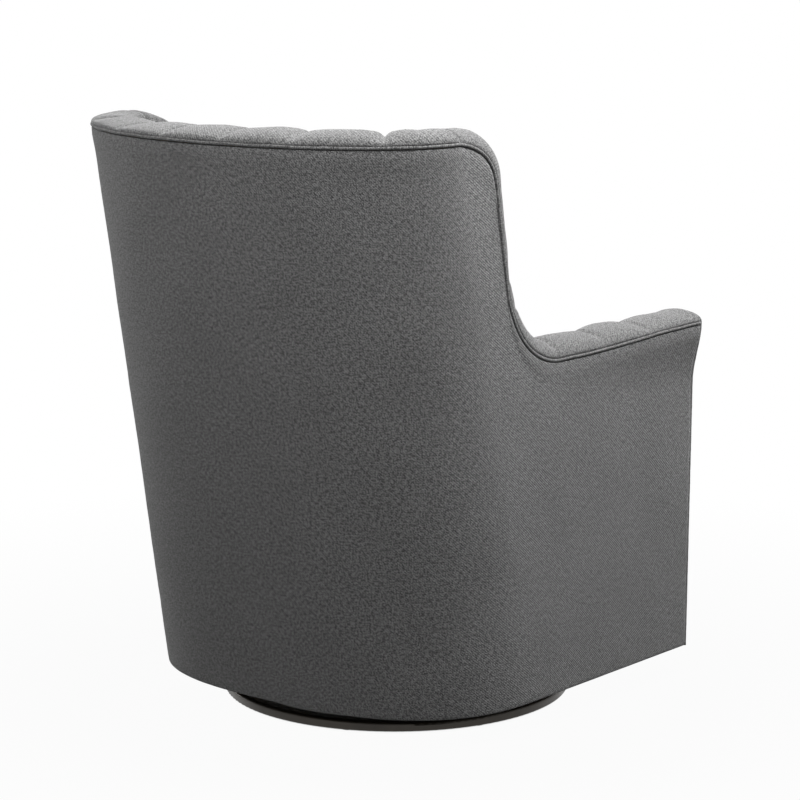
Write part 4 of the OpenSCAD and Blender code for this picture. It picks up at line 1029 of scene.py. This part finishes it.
def tuft_buttons():
    dome_shares = [(0.35, 0), (0.86, 0), (0.97, 0.10), (1.0, 0.26), (0.97, 0.45), (0.86, 0.66),
                   (0.68, 0.84), (0.45, 0.95), (0.2, 1.0), (0.04, 1.01)]
    stud = lathe("button_form", [(r * BUTTON_R, h * BUTTON_H) for r, h in dome_shares])
    feet, way = button_places()
    made = grown("tuft_buttons_cloth", studs_tree(), feet, ways=way, Item=stud, Finish=cloth)
    bpy.data.objects.remove(stud)
    finished(made, "seat", cloth, ["tuft_buttons"])


def edge_welt():
    """The piped cord, and a near-black bead below it that fills the seam: painted shade for the
    shadow under the cord.
    """
    s = all_stations(*WELT_STATIONS)
    across = inside(s[:, 0], s[:, 2], s[:, 3]) - outside(s[:, 0], s[:, 2], s[:, 3])
    line = outside(s[:, 0], s[:, 2], s[:, 3], WELT_INSET)
    line = line + points(0, 0, uneven(line, WELT_WANDER, 41))
    cord = cord_piece("edge_welt_cord", [(line, across)], EDGE_WELT_R)
    finished(cord, "seat", welt_cloth, ["edge_welt"])
    # A near-black bead at the foot of the seam gap: painted shade for the shadow under the cord.
    u, z = edge_uz(s, -WELT_SEAT - SEAM_GAP + SEAM_SHADE_R)
    seam_shade_line = outside(s[:, 0], u, z, COVER_T - SEAM_SHADE_R)
    tape = cord_piece("edge_welt_tape", [(seam_shade_line, across)], SEAM_SHADE_R, 8)
    finished(tape, "seat", seam_shade_cloth)


def front_outline(inset, levels=40, arc=28):
    """The wall's front end as x and z, from the outer foot over the arm to the inner foot."""
    full_h = ARM_ROLL_H - ARM_ROLL_DROP
    narrowed = 1 - inset / PANEL_TAPER
    top_z = float(arm_z(-FRONT_REACH)) + WELT_SEAT + full_h * (1 - narrowed) - inset
    foot_z = SHELL_FOOT_Z + max(0.0, inset - PANEL_INSET)
    up = np.linspace(foot_z, top_z, levels)
    outer, inner = (wall(1.0, 0.0, up, 0.0)[:, 0] for wall in (outside, inside))
    a = np.linspace(0, math.pi, arc + 2)[1:-1]
    x0, x1 = outer[-1] - inset, inner[-1] + inset
    over = top_z + full_h * narrowed * np.sin(a)
    top = np.stack([mix(x0, x1, (1 - np.cos(a)) / 2), over], axis=-1)
    return np.concatenate([
        np.stack([outer - inset, up], axis=-1), top, np.stack([inner + inset, up], axis=-1)[::-1]])


def arm_fronts():
    """Upholstered panels that close the front ends of the arms, with their welts. A ring has its
    inset from the panel's edge and its height, in millimetres."""
    rings = [(0, 0), (0, 1.5), (0.4, 4), (1.2, 5.6), (3, 7.2), (6, 8.2), (10, 8.8), (16, 9.2),
             (23, 9.5), (30, 9.6)]
    edge_hold, pucker_inset = 6, 3
    for side, name in ((1, "left"), (-1, "right")):
        loops = []
        for inset, out in rings:
            x, z = front_outline(PANEL_INSET + inset * MM).T
            y = FRONT_Y - out * MM + 0 * x
            swell = uneven(points(x, z, 0), PANEL_SWELL, 51 + side) * smooth(inset / edge_hold)
            near_seam = np.exp(-abs(inset - pucker_inset) / pucker_inset)
            pucker = uneven(points(x, z, 0), PANEL_PUCKER, 53) * near_seam
            loops.append(points(side * x, y - swell - pucker, z))
        grid = np.stack(loops)
        n = grid.shape[1]
        at, faces = ring_faces(*grid.shape[:2])
        for loop in (at[0], at[-1]):
            for i in range(n // 2 - 1):
                faces.append([loop[i], loop[i + 1], loop[n - 2 - i], loop[n - 1 - i]])
        stuffed(piece(f"arm_front_panel_{name}", grid, faces), f"arm_front_{name}")
    runs = []
    for side in (1, -1):
        x, z = front_outline(WELT_R, 90, 60).T
        line = points(side * x, FRONT_Y - WELT_R + 0 * x, z)
        runs.append((line, points(0 * x, -1 + 0 * x, 0 * x)))
    made = cord_piece("arm_front_welt_cords", runs, WELT_R)
    finished(made, "seat", welt_cloth, ["arm_front_welts"])


def front_rail_panel():
    """Padded panel below the seat cushion, rolled in at the top."""
    half_w, edge_t, sunk = SEAT_HALF_W - TOUCH, 0.4 * MM, 0.6 * MM
    side_round, foot_round, top_round = 7 * MM, 5 * MM, PANEL_T + 4 * MM
    columns, rows = 150, 70
    x = np.linspace(-half_w, half_w, columns)
    z = np.linspace(SHELL_FOOT_Z, DECK_Z, rows)
    across, up = np.meshgrid(x, z, indexing="ij")
    round_off = quarter_round((half_w - np.abs(across)) / side_round)
    round_off *= quarter_round((up - SHELL_FOOT_Z) / foot_round)
    round_off *= quarter_round((DECK_Z - up) / top_round)
    swell = (uneven(points(across, up, 0), RAIL_SWELL, 61) - sunk) * round_off
    front = FRONT_Y - (PANEL_T - edge_t) * round_off - swell - edge_t
    skin, back = points(across, front, up), points(across, FRONT_Y, up)
    stuffed(cloth_solid("front_rail_panel", skin, back, columns // 2), "front_rail_cover")


# Seat cushion
def corner_reach(a):
    total = np.abs(np.cos(a)) ** CUSHION_SQUARE + np.abs(np.sin(a)) ** CUSHION_SQUARE
    return total ** (-1 / CUSHION_SQUARE)


def cushion_ring(share, out, z, turns=160):
    a = np.linspace(0, 2 * math.pi, turns, endpoint=False)
    k, far = corner_reach(a), corner_reach(math.pi / 4)
    drawn = out - CUSHION_DRAW * (far - k) / (far - 1)
    x = (CUSHION_HALF_W + drawn) * np.cos(a) * k * share
    y = (CUSHION_HALF_L + drawn) * np.sin(a) * k * share + CUSHION_REAR - CUSHION_HALF_L
    return points(x, y, z)


def cushion_form(bulge, crown):
    """The cushion before it is filled: flat below, boxed at the sides and crowned on top."""
    low, high = SEAM_ZS
    box_steps, crown_power, off_deck = 12, 3.4, 0.1 * MM
    under_shares = [0.02, 0.3, 0.6, 0.85, 0.95, 0.985]
    crown_shares = [0.985, 0.96, 0.92, 0.87, 0.8, 0.7, 0.58, 0.44, 0.3, 0.16, 0.02]
    rings = [cushion_ring(share, 0, CUSHION_Z + off_deck) for share in under_shares]
    for k in range(box_steps + 1):
        out = bulge * math.sin(math.pi * k / box_steps)
        rings.append(cushion_ring(1, out, mix(low, high, k / box_steps)))
    for share in crown_shares:
        rings.append(cushion_ring(share, 0, high + crown * (1 - share**crown_power)))
    grid = np.stack(rings)
    return piece("seat_cushion_cloth", grid, capped_rings(grid))


def applied(made):
    """Bakes a piece's modifiers into its mesh."""
    mesh = bpy.data.meshes.new_from_object(evaluated(made))
    made.modifiers.clear()
    made.data = mesh


def inflated(made, voxel, held, reach, shrink=-0.02, pressure=4.0, frames=20):
    """Fills a closed form by cloth simulation. held gives each point's hold, and reach its farthest
    move, both from the points' places."""
    remesh = made.modifiers.new("remesh", "REMESH")
    remesh.mode, remesh.voxel_size = "VOXEL", voxel
    applied(made)
    rest = read_out(made.data.vertices, "co", 3)
    hold = made.vertex_groups.new(name="held")
    for index, weight in enumerate(held(rest)):
        if weight > 0.01:
            hold.add([index], float(weight), "REPLACE")
    sim = made.modifiers.new("filling", "CLOTH")
    cloth_set = sim.settings
    cloth_set.quality = 6
    cloth_set.mass = 0.25
    cloth_set.tension_stiffness = cloth_set.compression_stiffness = 18
    cloth_set.shear_stiffness = 8
    cloth_set.bending_stiffness = 0.6
    cloth_set.use_pressure = True
    cloth_set.uniform_pressure_force = pressure
    cloth_set.effector_weights.gravity = 0
    cloth_set.shrink_min = shrink
    cloth_set.vertex_group_mass = "held"
    sim.collision_settings.use_collision = False
    sim.point_cache.frame_start, sim.point_cache.frame_end = 1, frames
    for step in range(1, frames + 1):
        bpy.context.scene.frame_set(step)
    move = read_out(evaluated(made).data.vertices, "co", 3) - rest
    far = np.linalg.norm(move, axis=1)
    cap = reach(rest)
    soft_cap = cap * np.tanh(far / np.maximum(cap, 1e-6))
    move *= (soft_cap / np.maximum(far, 1e-9))[:, None]
    made.modifiers.remove(sim)
    made.vertex_groups.clear()
    made.data.vertices.foreach_set("co", (rest + move).ravel())
    bpy.context.scene.frame_set(1)
    finer = made.modifiers.new("finer", "SUBSURF")
    finer.levels = finer.render_levels = 1
    applied(made)
    lay_by_facing(made.data)
    shade_round(made.data)
    return made


def cushion_hold(co):
    """Seams are held by their welts, and the underside by the deck."""
    low, high = SEAM_ZS
    rim_share, seam_w, deck_w = 0.95, 4 * MM, 2 * MM
    local = co - [0, AXIS_Y, 0]
    rim_x = np.abs(local[:, 0]) / CUSHION_HALF_W
    rim_y = np.abs(local[:, 1] - CUSHION_REAR + CUSHION_HALF_L) / CUSHION_HALF_L
    at_rim = np.maximum(rim_x, rim_y) > rim_share
    near_seam = np.minimum(np.abs(co[:, 2] - low), np.abs(co[:, 2] - high)) < seam_w
    return np.where((at_rim & near_seam) | (co[:, 2] < low - deck_w), 1.0, 0.0)


def cushion_reach(co):
    """The filling lifts the top more than it pushes out the boxing."""
    top_reach, side_reach, above_seam = 13 * MM, 4 * MM, 1 * MM
    return np.where(co[:, 2] > SEAM_ZS[1] + above_seam, top_reach, side_reach)


def seat_cushion():
    flat = cushion_form(START_BULGE, START_CROWN)
    made = inflated(flat, FILLING_CELL, cushion_hold, cushion_reach)
    stuffed(made, "seat_cushion", "cushion")
    runs = []
    for z in SEAM_ZS:
        line = cushion_ring(1, WELT_R - WELT_SINK, z, 420)
        runs.append((line, points(0, 0, np.ones(len(line)))))
    welts = cord_piece("cushion_welt_cords", runs, WELT_R, closed=True)
    finished(welts, "cushion", welt_cloth, ["cushion_welts"])
    return made


def cushion_zip(cushion):
    """Zip in the rear boxing: two tapes, teeth, slider and pull, laid on the filled cushion."""
    shape = bmesh.new()
    shape.from_mesh(cushion.data)
    tree = BVHTree.FromBMesh(shape)
    shape.free()
    mid_z = CUSHION_Z + WELT_R + CUSHION_T / 2

    def laid(x, z, off):
        hit = tree.ray_cast(Vector((x, 1.0, z)), Vector((0, -1, 0)))[0]
        return (x, hit.y - AXIS_Y + off, z)

    def laid_grid(off):
        x = np.linspace(-ZIP_L / 2, ZIP_L / 2, 90)
        return np.array([[laid(a, b, off) for b in z] for a in x])

    z = np.linspace(mid_z - ZIP_W / 2, mid_z + ZIP_W / 2, 14)
    skin, back = laid_grid(ZIP_OFF), laid_grid(ZIP_UNDER)
    gap_half_w, gap_depth, tooth_pitch, slider_in = 1.5 * MM, 0.4 * MM, 2.2 * MM, 26 * MM
    skin[:, np.abs(z - mid_z) < gap_half_w, 1] -= gap_depth
    tape = cloth_solid("cushion_zip_tape", skin, back)
    finished(tape, "cushion", webbing_cloth, ["cushion_zip"])
    tooth_mm = [(0.2, -1.1), (0.9, -0.9), (0.9, 0.9), (0.2, 1.1)]
    tooth = lathe("tooth_form", [(r * MM, h * MM) for r, h in tooth_mm], 8)
    line = np.array([laid(a, mid_z, ZIP_OFF) for a in np.linspace(-ZIP_L / 2, ZIP_L / 2, 60)])
    teeth = grown("cushion_zip_teeth", row_tree(), line, [(i, i + 1) for i in range(len(line) - 1)],
                  Item=tooth, Spacing=tooth_pitch, Finish=nylon)
    bpy.data.objects.remove(tooth)
    finished(teeth, "cushion", nylon)
    half_outline_mm = [(0, 4), (8, 5), (11, 3), (20, 2.5), (24, 3.2), (27, 2)]
    outline_mm = half_outline_mm + [(a, -b) for a, b in half_outline_mm[::-1]]
    slider_x = ZIP_L / 2 - slider_in
    grid = np.array([
        [laid(slider_x + a * MM, mid_z + b * share * MM, off * MM) for a, b in outline_mm]
        for off, share in ((0.9, 0.92), (1.2, 1.0), (2.4, 1.0), (2.8, 0.9))
    ])
    slider = piece("cushion_zip_slider", grid, capped_rings(grid))
    finished(slider, "cushion", ground_steel)


# What lies inside and below
def seat_springs():
    low, high = (v - Vector((0, AXIS_Y, 0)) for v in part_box("seat_springs"))
    radius, waves, swing, pitch, count = 1.9 * MM, 9, 22 * MM, 120 * MM, 4
    steps_per_wave, straight_share = 24, 0.025
    t = np.linspace(0, 1, waves * steps_per_wave + 1)
    near_end = np.minimum(t, 1 - t)
    straight = smooth(12 * (near_end - straight_share))
    y = mix(low.y, high.y, t)
    z = mix(low.z + radius, high.z - radius, smooth(3 * near_end))
    verts, edges = [], []
    for i in range(count):
        start = len(verts) * len(t)
        x = (i - (count - 1) / 2) * pitch + swing * np.sin(2 * math.pi * waves * t) * straight
        verts.append(points(x, y, z))
        edges += [(start + k, start + k + 1) for k in range(len(t) - 1)]
    made = grown("seat_springs_wire", wires_tree(), np.concatenate(verts), edges,
                 Radius=radius, Sides=10, Finish=spring_steel)
    finished(made, "seat", spring_steel, ["seat_springs"])


def seat_deck():
    """Flat pad that fills its node's box, with rounded edges and an uneven top."""
    rounding, sag, sag_spacing, columns, rows = 6 * MM, 1.2 * MM, 90 * MM, 110, 100
    low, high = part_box("seat_deck")
    x = np.linspace(low.x, high.x, columns)
    y = np.linspace(low.y, high.y, rows) - AXIS_Y
    across, along = np.meshgrid(x, y, indexing="ij")
    to_side = np.minimum(across - low.x, high.x - across)
    to_end = np.minimum(along - y[0], y[-1] - along)
    inset = rounding * (1 - quarter_round(np.minimum(to_side, to_end) / rounding))
    uneven_top = sag * (ripples(points(across, along, 0), sag_spacing, 71) - 2) / 3
    top = points(across, along, high.z - inset + uneven_top)
    under = points(across, along, low.z + inset)
    made = cloth_solid("seat_deck_pad", top, under, columns // 2)
    finished(made, "seat", platform_cloth, ["seat_deck"])


def spaced(cuts, counts):
    """Places from the first cut to the last, with a count of them in each stretch."""
    stretches = [np.linspace(a, b, n) for a, b, n in zip(cuts, cuts[1:], counts)]
    return np.unique(np.concatenate(stretches))


def dust_cover():
    """Black cloth below the seat, with a slot for each glide rail."""
    slot_room, sag, thickness = 4 * MM, 1.6 * MM, 0.5 * MM
    low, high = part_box("dust_cover")
    rail_low, rail_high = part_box("glide_rail_left")
    slot_x = (rail_low.x - slot_room, rail_high.x + TOUCH)
    slot_y = (rail_low.y - TOUCH - AXIS_Y, rail_high.y + TOUCH - AXIS_Y)
    x = spaced([low.x, -slot_x[1], -slot_x[0], slot_x[0], slot_x[1], high.x], (14, 8, 40, 8, 14))
    y = spaced([low.y - AXIS_Y, slot_y[0], slot_y[1], high.y - AXIS_Y], (14, 60, 6))
    across, along = np.meshgrid(x, y, indexing="ij")
    wide = np.clip(1 - (across / slot_x[0]) ** 2, 0, 1)
    drop = (sag * wide + uneven(points(across, along, 0), DUST_SWELL, 81)) * smooth(wide * 4)
    top = points(across, along, high.z - TOUCH - drop)
    mid_x, mid_y = np.abs(x[:-1] + x[1:]) / 2, (y[:-1] + y[1:]) / 2
    in_x = (mid_x > slot_x[0]) & (mid_x < slot_x[1])
    in_y = (mid_y > slot_y[0]) & (mid_y < slot_y[1])
    faces = grid_faces(*across.shape)[~(in_x[:, None] & in_y).ravel()]
    made = piece("dust_cover_cloth", top, faces, grid_uv(top))
    thick = made.modifiers.new("thick", "SOLIDIFY")
    thick.thickness, thick.offset = thickness, 0
    applied(made)
    finished(made, "seat", dust_cloth, ["dust_cover"])


def back_webbing():
    """Webbing strips across the back posts, each with its own slight stretch."""
    half_w, width, count = 140 * MM, 50 * MM, 4
    gap, thickness, below_welt = 0.3 * MM, 1 * MM, 32 * MM
    lean = math.atan2(HEAD_REAR - SEAT_REAR, BACK_WELT_Z - DECK_Z)
    x, rise_along = np.linspace(-half_w, half_w, 60), np.linspace(-width / 2, width / 2, 10)
    across, up = np.meshgrid(x, rise_along, indexing="ij")
    for i in range(count):
        mid_z = mix(DECK_Z, BACK_WELT_Z - below_welt, (i + 0.5) / count)
        rear = mix(SEAT_REAR, HEAD_REAR, inside_rise(mid_z)) + BACK_PAD_T + 2 * TOUCH
        y = rear + up * math.sin(lean) + uneven(points(across, up, 0), WEBBING_BOW, 91 + i)
        z = mid_z + up * math.cos(lean)
        skin, back = (points(across, y + off, z) for off in (gap, gap + thickness))
        made = cloth_solid(f"back_webbing_{i + 1}", skin, back)
        finished(made, "seat", webbing_cloth, ["back_webbing"])


# Room, light and camera
LIT_MIDDLE = Vector((0, 0, 0.5))


def mixed_shaders(tree, share, a, b):
    return add_node(tree, "ShaderNodeMixShader", {0: share, 1: a.outputs[0], 2: b.outputs[0]})


def pale_floor():
    """Lit plain beneath the chair and white all round it, and clear from below. Inside the ring's
    radius the white glow is cut, so the dark bare floor there is painted shadow under the chair.
    """
    shade_r, open_r, fade_from_r, fade_to_r = 272 * MM, 286 * MM, 500 * MM, 1600 * MM
    bpy.ops.mesh.primitive_plane_add(size=40, location=(0, 0, -0.2 * MM))
    floor = bpy.context.object
    floor.name = "floor"
    made = bpy.data.materials.new("pale_floor")
    made.use_nodes = True
    tree = made.node_tree
    tree.nodes.remove(tree.nodes["Principled BSDF"])
    paths = add_node(tree, "ShaderNodeLightPath").outputs
    seen = number(tree, "MAXIMUM", paths["Is Camera Ray"], paths["Is Glossy Ray"])
    bare = add_node(tree, "ShaderNodeBsdfDiffuse", {"Color": (0.09, 0.09, 0.09, 1)})
    white = add_node(tree, "ShaderNodeEmission", {"Color": (1, 1, 1, 1), "Strength": 1.0})
    away = vector_math(tree, "DISTANCE", object_place(tree), (0, AXIS_Y, 0))["Value"]
    # Within shade_r the white share falls to 0.05. This makes a painted shadow disc of dark bare
    # floor where the chair's real shade also falls.
    near = spread_value(tree, away, shade_r, open_r, 0.05, 0.96)
    far = spread_value(tree, away, fade_from_r, fade_to_r, 0.0, 0.04)
    share = number(tree, "MULTIPLY", seen, number(tree, "ADD", near, far))
    both = mixed_shaders(tree, share, bare, white)
    below = add_node(tree, "ShaderNodeNewGeometry").outputs["Backfacing"]
    clear = add_node(tree, "ShaderNodeBsdfTransparent")
    shown = mixed_shaders(tree, below, both, clear)
    tree.links.new(shown.outputs[0], tree.nodes["Material Output"].inputs["Surface"])
    floor.data.materials.append(made)


def white_world():
    """White to the camera and in mirrors, and dim as a light."""
    as_light = 0.06
    world = bpy.data.worlds.new("studio")
    bpy.context.scene.world = world
    world.use_nodes = True
    tree = world.node_tree
    paths = add_node(tree, "ShaderNodeLightPath").outputs
    seen = number(tree, "MAXIMUM", paths["Is Camera Ray"],
                  number(tree, "MAXIMUM", paths["Is Glossy Ray"], paths["Is Transmission Ray"]))
    background = tree.nodes["Background"].inputs
    tree.links.new(spread_value(tree, seen, 0, 1, as_light, 1.0), background["Strength"])
    background["Color"].default_value = (1, 1, 1, 1)


def softbox(name, place, size, watts):
    """A round lamp, turned to the middle of the chair."""
    lamp = bpy.data.lights.new(name, "AREA")
    lamp.shape, lamp.size, lamp.energy = "DISK", size, watts
    made = placed(name, lamp)
    made.location = place
    made.rotation_euler = (LIT_MIDDLE - Vector(place)).to_track_quat("-Z", "Y").to_euler()


def lights():
    high_z = 2.145
    softbox("rear_light", (-0.2, 1.75, 1.45), 0.8, 7.5)
    softbox("right_rear_light", (-1.7, 0.95, 1.9), 0.8, 6.5)
    softbox("right_front_light", (-1.5, -1.5, 1.3), 0.8, 6)
    softbox("rear_high_light", (-0.5, 0.9, high_z), 0.9, 10)
    softbox("right_high_light", (-1.05, 0, high_z), 0.9, 26)
    softbox("right_front_high_light", (-0.67, -0.67, high_z), 0.9, 21)
    softbox("left_front_light", (1.96, -1.96, 1.7), 1.4, 34)
    softbox("left_light", (2.77, 0, 1.1), 1.4, 20)


def camera():
    """The photograph's view, with its angles, distance and lens fitted to the chair's outline."""
    azimuth, elevation, roll = (math.radians(angle) for angle in (219.28, 10.86, -0.21))
    distance = 4.914
    target = Vector((0, AXIS_Y, 0.48))
    focal_px, centre_x_px, centre_y_px, frame_px = 2969.0, 395.56, 402.40, 800
    level = math.cos(elevation)
    back = Vector((math.sin(azimuth) * level, -math.cos(azimuth) * level, math.sin(elevation)))
    data = bpy.data.cameras.new("view")
    data.sensor_width = 36.0
    data.lens = focal_px / frame_px * data.sensor_width
    data.shift_x = (frame_px / 2 - centre_x_px) / frame_px
    data.shift_y = (centre_y_px - frame_px / 2) / frame_px
    made = placed("view", data)
    made.location = target + back * distance
    turned = (-back).to_track_quat("-Z", "Y") @ Quaternion((0, 0, 1), roll)
    made.rotation_euler = turned.to_euler()
    bpy.context.scene.camera = made
    bpy.context.scene.view_settings.view_transform = "Standard"


camera()
dress_frame()
outside_cover()
inside_pads()
tuft_buttons()
edge_welt()
arm_fronts()
front_rail_panel()
cushion_zip(seat_cushion())
seat_springs()
seat_deck()
dust_cover()
back_webbing()
pale_floor()
white_world()
lights()
